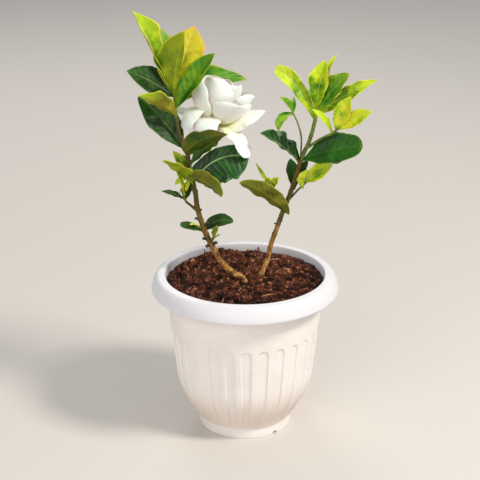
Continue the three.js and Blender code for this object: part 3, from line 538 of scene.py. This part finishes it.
def blade_mesh(form, rows, half_columns):
    """A closed blade: its vertices, faces, and for each face 0 for the upper side or 1 for the
    underside, with each vertex's place across and along the blade."""
    form = SimpleNamespace(**form)
    at = np.array(form.at, float)
    seed = form.turn * 0.37 + form.length
    upper, lower, places = [], [], []
    across = np.linspace(-1, 1, 2 * half_columns + 1)
    out, hand = np.abs(across), np.sign(across)
    along_blade = np.linspace(0, 1, rows + 1)
    if form.blunt:
        along_blade = np.sin(along_blade * pi / 2)
    for i, t in enumerate(along_blade):
        rise = radians(form.rise - form.droop * t - form.hook * t**4)
        turn = radians(form.turn + form.swing * t)
        along = np.array([*polar(cos(rise), turn), sin(rise)])
        level = np.array([sin(turn), -cos(turn), 0])
        roll = radians(form.roll + form.twist * t)
        face = np.cross(level, along) * cos(roll) + level * sin(roll)
        side = np.cross(along, face)
        # Across the blade: how far out, how it bends up, and its waves, ruffles, veins and margin
        wide = smooth(0.04, 0.3, t) * smooth(1, 0.8, t) * min(form.width / 22, 1)
        bend = np.radians(form.fold + form.curl * out * 0.5)
        tilt = np.where(across == 0, 0, np.radians(form.fold + form.curl * out))
        phase = 2 * pi * form.waves * t + np.where(hand > 0, 0, 2)
        lift = form.wave * np.sin(phase) * out**2 * sin(pi * t)
        loose = [noise.noise(Vector((5 * t, 2.2 * q, seed)))
                 + 0.4 * noise.noise(Vector((13 * t, 5 * q, seed))) for q in across]
        lift += form.ruffle * np.array(loose) * (0.25 + out**2) * sin(pi * min(t * 1.2, 1))
        veins = np.abs(np.sin(pi * (VEIN_PAIRS * t - VEIN_SLANT * out)))
        puff = form.quilt * wide * (np.minimum(veins * 1.6, 1) ** 0.7 - 1) * (1 - out**4)
        puff -= form.quilt * 0.9 * wide * np.exp(-((across / 0.07) ** 2))
        left, right = (noise.noise(Vector((16 * t, q, seed))) for q in (-1.3, 1.3))
        nicks = form.nick * out**3 * np.where(hand > 0, right, left)
        margin = 1 + 0.034 * sin(17 * t + seed) + nicks
        reach = half_width(form, t) * out * (1 + form.uneven * hand) * margin
        middle = at + np.outer(hand * reach * np.cos(bend), side)
        middle += np.outer(reach * np.sin(bend) + lift + puff, face)
        normal = np.outer(np.cos(tilt), face) - np.outer(hand * np.sin(tilt), side)
        # Thickness: a round stalk at the foot, a rib under the middle and a thin margin
        stalk = max(0, 1 - t * 7)
        thick = form.thick + stalk * (2 * form.stalk - form.thick)
        rib = 1 + 1.6 * (1 - t) * np.exp(-((across / 0.08) ** 2))
        edge = np.sqrt(np.clip(1.05 - out**8, 0.1, 1))
        upper.append(middle + normal * (thick / 2 * edge)[:, None])
        lower.append(middle - normal * (thick / 2 * edge * rib)[:, None])
        places.append(np.stack([across / 2 + 0.5, np.full_like(across, t)], 1))
        at = at + along * form.length * (along_blade[min(i + 1, rows)] - t)
    columns = len(across)
    down = (rows + 1) * columns
    faces, sides = [], []
    for i in range(rows):
        for j in range(columns - 1):
            a = i * columns + j
            quad = (a, a + 1, a + columns + 1, a + columns)
            faces += [quad, tuple(down + q for q in quad[::-1])]
            sides += [0, 1]
    rim = [*range(columns), *(i * columns + columns - 1 for i in range(1, rows + 1))]
    rim += [rows * columns + j for j in range(columns - 2, -1, -1)]
    rim += [i * columns for i in range(rows - 1, 0, -1)]
    for a, b in zip(rim, rim[1:] + rim[:1]):
        faces.append((b, a, a + down, b + down))
        sides.append(1)
    return np.concatenate(upper + lower), faces, sides, np.concatenate(places + places)


def lay_places(piece, places):
    """Stores each vertex's place across and along its blade, where the materials look for it."""
    corners = np.zeros(len(piece.data.loops), np.int32)
    piece.data.loops.foreach_get("vertex_index", corners)
    layer = piece.data.uv_layers.new(name="blade")
    layer.data.foreach_set("uv", np.concatenate(places)[corners].astype(np.float32).ravel())


def leaf_surface(add, at, colours, gloss, veins, coat=0.0, light=0.0):
    # Living leaf: a waxy skin over green tissue. Colour drifts over the blade in patches 18 mm wide,
    # the veins show pale, the margin turns, and light passes through the young ones. The skin's
    # puckers are 4 mm. Its cells are 0.05 mm and are drawn 1 mm wide, so that they show.
    dark, middle, light_tone, vein, edge, far = colours.split()
    eased = {"interpolation_type": "SMOOTHSTEP"}
    place = add("SeparateXYZ", links={"Vector": add("UVMap", uv_map="blade")})
    across, along = place.outputs["X"], place.outputs["Y"]
    centred = add("Math", {1: 2, 2: -1}, {0: across}, operation="MULTIPLY_ADD")
    out = add("Math", links={0: centred}, operation="ABSOLUTE")
    # Side veins slant outwards from the midrib and fade before the margin
    slant = add("Math", {1: -VEIN_SLANT}, {0: out}, operation="MULTIPLY")
    phase = add("Math", {1: VEIN_PAIRS}, {0: along, 2: slant}, operation="MULTIPLY_ADD")
    wobble = add("TexNoise", {"Scale": per(8.333), "Detail": 2}, {"Vector": at})
    bent = add("Math", {1: 0.22}, {0: wobble, 2: phase}, operation="MULTIPLY_ADD")
    fold = add("Math", {1: 0.5}, {0: bent}, operation="PINGPONG")
    side_vein = add("MapRange", {"From Min": 0.07, "From Max": 0}, {"Value": fold}, **eased)
    fade = add("MapRange", {"From Min": 0.95, "From Max": 0.5, "To Max": 0.55}, {"Value": out})
    side_faded = add("Math", links={0: side_vein, 1: fade}, operation="MULTIPLY")
    midrib = add("MapRange", {"From Min": 0.07, "From Max": 0.02}, {"Value": out}, **eased)
    pale = add("Math", links={0: side_faded, 1: midrib}, operation="MAXIMUM")
    strength = add("Math", {1: veins}, {0: pale}, operation="MULTIPLY")
    # Patches of the blade, then its far end, its veins and its margin
    drift = add("TexNoise", {"Scale": per(18.18), "Detail": 5, "Roughness": 0.62}, {"Vector": at})
    blade = add("ValToRGB", links={"Fac": drift}, stops=[(0.38, dark), (0.5, middle), (0.63, light_tone)])
    outward = add("MapRange", {"From Min": 0.5, "From Max": 0.95, "To Max": 0.8}, {"Value": along}, **eased)
    turned = add("Mix", {"B": far}, {"Factor": outward, "A": blade})
    ribbed = add("Mix", {"B": vein}, {"Factor": strength, "A": turned})
    rim = add("MapRange", {"From Min": 0.86, "From Max": 1}, {"Value": out}, **eased)
    tip = add("MapRange", {"From Min": 0.93, "From Max": 1}, {"Value": along})
    turning = add("Math", links={0: rim, 1: tip}, operation="MAXIMUM")
    colour = add("Mix", {"B": edge}, {"Factor": turning, "A": ribbed})
    cells = add("TexVoronoi", {"Scale": per(1.111)}, {"Vector": at}, feature="DISTANCE_TO_EDGE")
    skin = add("Bump", {"Strength": 0.12, "Distance": 0.2 * MM}, {"Height": cells})
    pucker = add("TexNoise", {"Scale": per(3.846), "Detail": 3}, {"Vector": at})
    crinkle = add("Bump", {"Strength": 0.35, "Distance": MM}, {"Height": pucker, "Normal": skin})
    bump = add("Bump", {"Strength": 0.45, "Distance": 0.6 * MM}, {"Height": fold, "Normal": crinkle})
    dull = add("MapRange", {"To Min": gloss - 0.07, "To Max": gloss + 0.1}, {"Value": drift})
    return add("BsdfPrincipled",
               {"Specular IOR Level": 0.22, "Coat Weight": coat, "Coat Roughness": 0.3,
                "Subsurface Weight": light, "Subsurface Scale": 3 * MM},
               {"Base Color": colour, "Roughness": dull, "Normal": bump})


# Each side of a blade: its dark, middle and light tone, the colour of its veins, margin and far end,
# then its roughness, how strong the veins show, how waxy it is and how much light goes in
PALE_UNDER = ("#4f6a1c #6b8028 #8a9438 #a8b36a #8a8a3c #6b8028", 0.6, 0.5)
FINISHES = {
    "mature": [("#0e2706 #173809 #2b5210 #7c964a #45701e #22540e", 0.46, 0.3, 0.05), PALE_UNDER],
    "plain": [("#123d05 #1a4c08 #29620f #628c38 #4c7c1c #1f560a", 0.46, 0.22, 0.08, 0.05), PALE_UNDER],
    "broad": [("#0d2c0c #163f12 #2c6322 #8fae70 #346a22 #1c4a18", 0.36, 0.75, 0.2), PALE_UNDER],
    "growing": [("#24680c #4a9214 #8cbc22 #b6cf5e #b0a832 #86b81e", 0.42, 0.45, 0.1, 0.12),
                ("#567416 #7d8e20 #a0a032 #b6b45e #b59a3c #93a52a", 0.58, 0.5, 0, 0.12)],
    "young": [("#4c860a #98c010 #dce02e #e2e68a #dcd850 #b8d82a", 0.44, 0.4, 0.05, 0.22),
              ("#6a920e #aabb1a #d6d632 #dcd97e #d6c44c #b6c832", 0.55, 0.4, 0, 0.22)],
    "yellowing": [("#a4b418 #dcd428 #f2e644 #eee596 #e8b04a #d8cc34", 0.48, 0.4, 0, 0.25),
                  ("#b8bc1e #eee032 #fcf052 #f8eea0 #e8c440 #ecdc3c", 0.55, 0.45, 0, 0.3)],
    "olive": [("#3f6210 #627a16 #8a901e #a6a456 #b5a634 #7c8a1c", 0.5, 0.45, 0, 0.08),
              ("#567608 #7c900c #9ca614 #a8aa3a #d0cc34 #8e9e10", 0.56, 0.4, 0, 0.08)],
    "turning": [("#5c7012 #848c1c #a6a62a #a9a04a #c4c834 #b0d222", 0.5, 0.4, 0, 0.1),
                ("#626c14 #86841c #a49c2a #a9994a #c0c436 #acd020", 0.56, 0.4, 0, 0.1)],
    "shaded": [("#234808 #37600e #557414 #86904a #6a6a24 #44600f", 0.5, 0.4),
               ("#2a480a #40590e #5f6416 #8f8a40 #8a7a30 #64601a", 0.6, 0.4)],
    "old": [("#3f5e14 #5c701c #7c7c26 #a09c4c #94a030 #6a7420", 0.5, 0.45),
            ("#4a520c #646414 #807c20 #a09a44 #94a030 #72801c", 0.6, 0.45)],
    "blotched": [("#1c540c #3c8212 #7eac1c #a6c050 #a4b428 #569414", 0.42, 0.35, 0.05, 0.1),
                 ("#1f560c #3f8212 #86ac1e #a6c050 #b0bc2a #6a9c1a", 0.52, 0.35, 0, 0.12)],
}
for look, sides in FINISHES.items():
    FINISHES[look] = [make_material(f"{look}_leaf_{side}", leaf_surface, *settings)
                      for side, settings in zip(("upper", "under"), sides)]


def young_wood(add, at):
    # Green wood of this year: smooth waxy skin over olive tissue in 7 mm patches, browner low down.
    patches = add("TexNoise", {"Scale": per(6.667), "Detail": 5, "Roughness": 0.6}, {"Vector": at})
    height = add("SeparateXYZ", links={"Vector": at}).outputs["Z"]
    high = add("MapRange", {"From Min": 270 * MM, "From Max": 350 * MM}, {"Value": height})
    young = add("ValToRGB", links={"Fac": patches}, stops=[(0.35, "#44600e"), (0.65, "#7e9426")])
    old = add("ValToRGB", links={"Fac": patches}, stops=[(0.35, "#3a420e"), (0.65, "#6a6824")])
    colour = add("Mix", links={"Factor": high, "A": old, "B": young})
    bump = add("Bump", {"Strength": 0.3, "Distance": 0.4 * MM}, {"Height": patches})
    return add("BsdfPrincipled", {"Roughness": 0.5}, {"Base Color": colour, "Normal": bump})


green_wood = make_material("young_wood", young_wood)


def green_shoot(name, node, leaves, stalk=None, kind=LEAF):
    """One piece of leaves on a stalk that grows from the wood, one finish to each leaf."""
    used = sorted({own["look"] for own in leaves})
    materials = [side for look in used for side in FINISHES[look]] + [green_wood] * bool(stalk)
    grid = LARGE_GRID if kind is LEAF else SMALL_GRID
    parts, sides, places = [], [], []
    for own in leaves:
        vertices, faces, blade_sides, blade_places = blade_mesh(dict(kind, **own), *grid)
        parts.append((vertices, faces))
        sides += [2 * used.index(own["look"]) + side for side in blade_sides]
        places.append(blade_places)
    if stalk:
        vertices, faces = twig_mesh(*stalk, *GREEN_WOOD, 2.0)
        parts.append((vertices, faces))
        sides += [2 * len(used)] * len(faces)
        places.append(np.full((len(vertices), 2), 0.4))
    piece = mesh_object(name, *joined(parts), materials, sides)
    lay_places(piece, places)
    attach(piece, "root")
    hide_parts(node)


def leaf(look, at, turn, rise, droop, length, width, **shape):
    """A leaf of a finish, from a place on the wood, in a direction, with what sets it apart."""
    return dict(shape, look=look, at=at, turn=turn, rise=rise, droop=droop, length=length, width=width)


# The left one holds leaves of every age close together
LEFT_STALK = [(-70.1, -8, 346.4), (-71, -8, 360), (-73, -8, 378)], [1.5, 1.3, 1.1]
green_shoot("left_top_leaves", "left_tip_leaves", [
    leaf("young", (-73, -7, 371), 172, 70, 12, 93, 30, hook=-4, roll=-50, twist=24, fold=25, curl=40,
         wave=2.4, ruffle=2.8, peak=0.7, full=1.15),
    leaf("growing", (-73, -5, 371), 134, 73, 16, 76, 34),
    leaf("olive", (-73, -9, 371), -34, 83, 12, 70, 28, roll=-58, fold=8, peak=0.5, uneven=0.6, full=0.95),
    leaf("yellowing", (-72, -4, 371), 30, 75, 10, 71, 35, roll=62, fold=14, peak=0.62, uneven=0.15),
    leaf("blotched", (-71, -10, 356), -13, 61, 12, 74, 29, roll=50, fold=15),
    leaf("young", (-71, -7, 362), 55, 62, 16, 56, 20),
    leaf("mature", (-72, -8, 369), -172, 41, 20, 55, 30, roll=-50),
    leaf("turning", (-70, -8, 349), -139, 44, 24, 55, 24, roll=40, fold=18),
    leaf("blotched", (-71, -6, 357), 80, 25, 42, 118, 27, swing=-64, roll=55, wave=1.6, ruffle=2.4),
], LEFT_STALK)

# The right one is a fresh flush, still yellow-green and soft
RIGHT_STALK = (
    [(58.2, 8, 296.5), (61, 9, 304), (67, 10, 318), (72, 12, 337), (74, 12, 350)],
    [2.3, 2.2, 2.1, 2, 1.6],
)
green_shoot("right_top_leaves", "right_tip_leaves", [
    leaf("young", (72, 11, 342), 165, 62, 12, 66, 17, hook=44, roll=-62, fold=20, peak=0.72, blunt=3,
         claw=0.35, wave=1.6, ruffle=2),
    leaf("young", (73, 12, 347), 30, 86, 14, 55, 27, roll=40, fold=34, peak=0.6, wave=1.8, ruffle=2),
    leaf("young", (74, 13, 348), 40, 76, 16, 62, 15, hook=20, fold=25),
    leaf("growing", (74, 11, 346), -24, 64, 22, 57, 27, roll=58, fold=12, wave=2, waves=4, ruffle=2.4,
         peak=0.5, full=0.7),
    leaf("young", (74, 11, 345), -2, 37, 4, 72, 17, hook=20, roll=65, fold=20, peak=0.46, wave=2, waves=5,
         ruffle=2),
], RIGHT_STALK)


# Large leaves
# Grown leaves stand singly or in pairs on the wood, each seated on it by its own short stalk. They are
# the darkest and glossiest ones, and those that are low down turn olive with age.
LARGE_LEAVES = {
    "left_leaf_dark": [leaf("mature", (-64, -7, 314), 157, 58, 28, 71, 33, roll=-50)],
    "left_leaf_under_bloom": [leaf("shaded", (-62, -10, 311), -42, 44, 34, 68, 27, roll=-42, fold=14,
                                   peak=0.34, full=0.7, uneven=-0.1)],
    "left_leaf_folded": [leaf("shaded", (-57, -11, 297), -4, 52, 18, 50, 22, roll=42, fold=28, peak=0.58)],
    "left_leaf_pair": [
        leaf("olive", (-54, -12, 281), -156, 42, 8, 42, 19, roll=52, twist=-30, full=0.5, peak=0.4,
             stalk=2),
        leaf("old", (-59, -12, 286), -30, 4, 48, 45, 24, hook=10, roll=-66, full=0.5, stalk=2),
    ],
    "right_large_leaf": [leaf("plain", (60, 7, 297), -18, 30, 24, 67, 34, roll=52, blunt=2.2, claw=0.06,
                              peak=0.56, fold=6, quilt=0.25)],
    "right_glossy_leaf": [leaf("broad", (57, 8, 294), -153, 50, 22, 61, 28, roll=-40, fold=28, wave=1.8,
                               waves=4, ruffle=2.6)],
    "right_low_leaf": [leaf("old", (46, 1, 240), -150, 50, 26, 75, 24, roll=46, wave=1.2,
                            ruffle=1.8, full=0.55, peak=0.55)],
}
for node, leaves in LARGE_LEAVES.items():
    green_shoot(node + "_blade", node, leaves)


# Side shoots
# Buds along both stems have broken into small shoots and single leaves, one of them broad. Some have a
# thin green stalk of their own, whose route and radii stand after the leaves. The others sit on the wood.
SHOOTS = {
    "left_leaf_broad": ([
        leaf("broad", (-49, -12, 286), 6, 56, 74, 61, 38, roll=62, uneven=0.42, blunt=2.9, claw=0.85,
             peak=0.54, fold=8, quilt=0.8),
    ], ([(-57, -9, 296), (-53, -12, 290), (-48, -12, 285)], [1.2, 1.1, 1])),
    "left_pale_shoot": ([
        leaf("young", (-60, -6, 289), 160, 62, 20, 26, 10, roll=-50),
        leaf("growing", (-61, -5, 293), 110, 60, 10, 14, 7),
        leaf("young", (-57, -5, 283), 166, -16, 30, 20, 8, roll=-50),
        leaf("young", (-57, -6, 281), -160, -38, 30, 21, 8, roll=20),
        leaf("yellowing", (-57, -6, 281), -120, -50, 10, 14, 7, roll=20),
        leaf("mature", (-58, -5, 289), 120, 66, 20, 16, 9),
    ], ([(-55, -7, 280), (-59, -6, 288), (-61, -5, 294)], [1, 0.9, 0.8])),
    "left_side_shoot": ([
        leaf("mature", (-62, -11, 260), -170, 34, 22, 27, 8, roll=-30),
        leaf("mature", (-62, -11, 260), 60, 66, 14, 19, 13),
        leaf("young", (-63, -11, 265), -150, 78, 12, 29, 8, roll=-50),
    ], ([(-61.4, -10.2, 257.3), (-63, -11, 262), (-64, -11, 266)], [1.3, 1.2, 1])),
    "left_small_leaf": ([
        leaf("young", (-49, -11, 230.5), -150, 40, 50, 11, 7),
    ], ([(-45, -7, 227), (-48, -10, 230), (-50, -12, 231)], [0.8, 0.7, 0.7])),
    "left_low_leaf_a": ([
        leaf("mature", (-44, -6, 223), -152, 32, 20, 29, 11, roll=-36, blunt=2.6, claw=0.1, peak=0.6),
    ], None),
    "left_low_leaf_b": ([leaf("mature", (-43, -6, 224), 14, 50, 78, 35, 15, roll=50, full=0.6)], None),
    "left_bud_leaf": ([
        leaf("growing", (-33, -10, 217), -60, 70, 10, 18, 8),
        leaf("growing", (-34, -9, 215), -20, 50, 30, 11, 6),
    ], ([(-36, -6, 210), (-34, -9, 216), (-33, -10, 219)], [1.3, 1.2, 1])),
    "right_side_shoot": ([
        leaf("young", (96, -6, 334), -14, 82, 20, 37, 20, roll=75, fold=20),
        leaf("young", (96, -6, 334), -22, 42, 18, 41, 18, roll=60),
        leaf("young", (89, -3, 329), -165, 72, 44, 36, 8, roll=-60),
        leaf("young", (93, -4, 333), 70, 50, 20, 24, 12),
    ], ([(63, 8, 309), (76, 3, 320), (89, -3, 329), (96, -6, 336)], [1.5, 1.4, 1.4, 1.2])),
    "right_thin_shoot": ([
        leaf("growing", (49, 0, 349.5), -155, 64, 26, 24, 10, roll=-60, fold=30),
        leaf("growing", (49, 0, 349), 82, 76, 20, 18, 6),
        leaf("growing", (49, 0, 349), -152, 10, 110, 27, 12, roll=-20),
    ], ([(58, 7, 300), (58, 5, 322), (54, 3, 338), (49, 0, 350)], [1.1, 0.9, 0.8, 0.8])),
    "right_back_leaf_a": ([leaf("mature", (52, 9, 264), 100, 66, 34, 36, 15)], None),
    "right_back_leaf_b": ([leaf("mature", (52, 8, 272), 40, 60, 26, 28, 11, roll=30)], None),
    "right_low_shoot": ([
        leaf("young", (64, 1, 275), -12, 40, 4, 34, 21, roll=60, fold=30),
        leaf("young", (60, 2, 268), -40, 78, 8, 23, 17, roll=-10, fold=20),
    ], ([(45, 7, 252), (56, 4, 266), (65, 1, 276)], [1.2, 1.1, 1])),
    "right_tuft": ([
        leaf("young", (27, -2, 269), 163, 58, 0, 31, 4.5, roll=-60),
        leaf("young", (28, -1, 268), -120, 40, -50, 17, 13, fold=25),
        leaf("young", (27, -2, 269), 0, 62, 10, 15, 10, roll=40),
    ], ([(39, 6, 244), (34, 6, 257), (30, 2, 265), (26, -3, 271)], [0.9, 0.8, 0.9, 1])),
}
for node, (leaves, stalk) in SHOOTS.items():
    kind = LEAF if node == "left_leaf_broad" else SMALL_LEAF
    green_shoot(node + "_green", node, leaves, stalk, kind)


# Bloom
# One double flower: a cup of broad overlapping petals round a furled middle, and an outer ring
# that bends back. Petals are thick, soft and matt, cream at the base, with thin rolled edges.
BLOOM_AT, BLOOM_TILT, BLOOM_NOD = (-29, 14, 330), 4, 2
# How far out and how high the petals grow, and the rows and columns of their mesh
OUTER_OUT, INNER_OUT, PETALS_Z, PETAL_GRID = 3, 2, 4, (40, 14)
PETAL = dict(LEAF, fold=0, curl=-25, wave=1.2, waves=2, peak=0.64, tip=0.5, thick=0.7, quilt=0, droop=0,
             ruffle=1.6, blunt=2.6, nick=0.05)
CUPPED = dict(PETAL, curl=75, roll=-12, wave=0.9, peak=0.66, hook=26, blunt=2.4)
# Turn, rise, droop, length and width of each petal, and what sets it apart
INNER_PETALS = [
    (202, 17, -102, 65, 46, {}),
    (248, 34, -78, 61, 46, {}),
    (305, 12, -64, 45, 48, dict(curl=55)),
    (322, 44, -50, 50, 42, {}),
    (8, 14, -66, 48, 46, {}),
    (70, 50, -48, 48, 42, {}),
    (132, 46, -60, 52, 42, {}),
]
OUTER_PETALS = [
    (346, 24, 2, 51, 31, dict(full=0.8, peak=0.4, blunt=0, roll=30)),
    (322, 4, 78, 52, 24, dict(peak=0.5, blunt=3, claw=0.75)),
    (245, 44, 124, 42, 27, dict(lift=5, blunt=4, peak=0.6)),
    (214, 62, 160, 56, 25, dict(lift=8, blunt=4, peak=0.7)),
    (163, 22, 16, 57, 22, {}),
    (102, 30, 60, 46, 28, {}),
    (45, 24, 60, 46, 28, {}),
]
# Outlines of the throat that carries the petals and of the furled middle, as radius and height
THROAT = [(0, -6), (2.2, -6), (3.4, 2), (6, 8), (5, 14), (0, 16)]
FURLED = [(0, 0), (3, 4), (6.5, 16), (5, 27), (1.5, 32), (0, 32)]


def petal_skin(add, at):
    # Petal: matt velvety white, cream towards the base, lit from inside where it is thin. The velvet
    # is 0.03 mm and is drawn 0.4 mm, so that it shows. Fine streaks run along, 34 to a petal.
    blade = add("UVMap", uv_map="blade")
    along = add("SeparateXYZ", links={"Vector": blade}).outputs["Y"]
    drift = add("TexNoise", {"Scale": per(16.67), "Detail": 3}, {"Vector": at})
    length = add("Math", {1: 0.18}, {0: drift, 2: along}, operation="MULTIPLY_ADD")
    colour = add("ValToRGB", links={"Fac": length},
                 stops=[(0.14, "#dcd998"), (0.33, "#f3ebc4"), (0.56, "#f6f2e5"), (0.8, "#f5f4ef")])
    stretched = add("Mapping", {"Scale": (34, 2, 1)}, {"Vector": blade})
    streaks = add("TexNoise", {"Scale": 1, "Detail": 3}, {"Vector": stretched})
    soft = add("Bump", {"Strength": 0.12, "Distance": 0.4 * MM}, {"Height": streaks})
    velvet = add("TexNoise", {"Scale": per(0.4167), "Detail": 2}, {"Vector": at})
    bump = add("Bump", {"Strength": 0.1, "Distance": 0.1 * MM}, {"Height": velvet, "Normal": soft})
    return add("BsdfPrincipled",
               {"Roughness": 0.58, "Specular IOR Level": 0.3, "Subsurface Weight": 0.35,
                "Subsurface Scale": 6 * MM, "Sheen Weight": 0.15, "Sheen Roughness": 0.5},
               {"Base Color": colour, "Normal": bump})


def carried(vertices):
    """Vertices of the bloom where the bloom stands."""
    return vertices @ place_bloom[:3, :3].T + place_bloom[:3, 3]


def turned_mesh(outline):
    """A closed lathe of an outline's radius and height, with a tiny flat end in place of a point."""
    sides = 24
    rows = list(dict.fromkeys((max(r, 0.3), round(z, 6)) for r, z in rounded(outline)))
    angle = np.arange(sides) * 2 * pi / sides
    vertices = [np.stack([r * np.cos(angle), r * np.sin(angle), np.full(sides, z)], 1) for r, z in rows]
    last = sides * (len(rows) - 1)
    caps = [tuple(range(sides))[::-1], tuple(range(last, last + sides))]
    return np.concatenate(vertices), ring_faces(len(rows), sides) + caps


# The bloom is tilted to the right and nods to the front
tilt = Matrix.Rotation(radians(BLOOM_TILT), 4, "Y")
nod = Matrix.Rotation(radians(-BLOOM_NOD), 4, "X")
place_bloom = np.array(Matrix.Translation(BLOOM_AT) @ (tilt @ nod))
parts, places = [], []
for kind, ring, out in ((PETAL, OUTER_PETALS, OUTER_OUT), (CUPPED, INNER_PETALS, INNER_OUT)):
    for *own, shape in ring:
        petal = dict(kind, **dict(zip(("turn", "rise", "droop", "length", "width"), own)), **shape)
        turn = radians(petal["turn"])
        petal["at"] = (*polar(out, turn), PETALS_Z + petal.get("lift", 0))
        vertices, faces, _, petal_places = blade_mesh(petal, *PETAL_GRID)
        parts.append((vertices, faces))
        places.append(petal_places)
for outline in (THROAT, FURLED):
    parts.append(turned_mesh(outline))
    places.append(np.full((len(parts[-1][0]), 2), 0.5))
vertices, faces = joined(parts)
white_petal = make_material("gardenia_petal", petal_skin)
petals = mesh_object("bloom_petals_white", carried(vertices), faces, [white_petal])
lay_places(petals, places)
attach(petals, "root")
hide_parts("bloom_petals")


# Flower stalk
# A green stalk from the top of the left stem carries the bloom. It ends in a smooth ovary, with six
# narrow calyx lobes standing up round it.
OVARY = [(0, -19), (1.6, -18.5), (2.6, -14), (2.9, -9), (2.3, -6.4), (0, -6.4)]
LOBES, LOBE_OUT, LOBE_Z, LOBE_GRID = 6, 2, -11, (14, 3)
STALK_TOP_Z, STALK_RADII, STALK_WOOD = -18, [1.7, 1.5, 1.7], (14, 14, 0.06, 0)
LOBE = dict(SMALL_LEAF, rise=62, length=13, width=2.6, curl=0, quilt=0, wave=0)
ovary, ovary_faces = turned_mesh(OVARY)
top = place_bloom @ np.array([0, 0, STALK_TOP_Z, 1])
parts = [(carried(ovary), ovary_faces),
         twig_mesh([(-60, -6, 307), (-50, 2, 309), tuple(top[:3])], STALK_RADII, *STALK_WOOD)]
for k in range(LOBES):
    degrees = 360 // LOBES * k + 20
    turn = radians(degrees)
    at = (*polar(LOBE_OUT, turn), LOBE_Z)
    vertices, faces, _, _ = blade_mesh(dict(LOBE, turn=degrees, at=at), *LOBE_GRID)
    parts.append((carried(vertices), faces))
vertices, faces = joined(parts)
calyx = mesh_object("bloom_calyx", vertices, faces, [FINISHES["growing"][0]])
lay_places(calyx, [np.full((len(vertices), 2), 0.4)])
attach(calyx, "root")
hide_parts("bloom_stalk")


# Floor, light and camera
# A plain pale floor and soft studio light from the upper right, and the photograph's viewing angle.
# Places and sizes here are in metres.
CAMERA_AT, CAMERA_DOWN, CAMERA_LENS, CAMERA_SENSOR = (-0.0053, -1.3188, 0.7180), 21.04, 100, 36
LIGHTS_AIM = (0, 0, 0.25)
scene = bpy.context.scene


def plain_floor(add, _):
    # Matt painted board, a little warm.
    return add("BsdfPrincipled", {"Base Color": "#d6d2cc", "Roughness": 0.9})


bpy.ops.mesh.primitive_plane_add(size=60)
floor = bpy.context.object
floor.name = "floor"
floor.data.materials.append(make_material("pale_floor", plain_floor))


def soft_box(name, place, size, power, colour):
    """A square studio light that looks at the plant."""
    light = bpy.data.lights.new(name, "AREA")
    light.size = size
    light.energy = power
    light.color = linear(colour)[:3]
    lamp = bpy.data.objects.new(name, light)
    lamp.location = place
    lamp.rotation_euler = (Vector(LIGHTS_AIM) - Vector(place)).to_track_quat("-Z", "Y").to_euler()
    scene.collection.objects.link(lamp)


soft_box("key_light", (1.35, -0.75, 1.75), 0.45, 38, "#fff8ee")
soft_box("fill_light", (-0.9, -1.75, 1.0), 1.5, 15, "#fdf6f0")
soft_box("back_light", (-0.4, 1.6, 1.6), 0.9, 10, "#fff8ee")
world = bpy.data.worlds.new("studio")
world.use_nodes = True
sky = world.node_tree.nodes["Background"].inputs
sky["Color"].default_value = linear("#f0f2f6")
sky["Strength"].default_value = 0.5
scene.world = world
scene.view_settings.view_transform = "Standard"

camera_data = bpy.data.cameras.new("camera")
camera_data.lens = CAMERA_LENS
camera_data.sensor_width = CAMERA_SENSOR
camera = bpy.data.objects.new("camera", camera_data)
camera.location = CAMERA_AT
camera.rotation_euler = (radians(90 - CAMERA_DOWN), 0, 0)
scene.collection.objects.link(camera)
scene.camera = camera
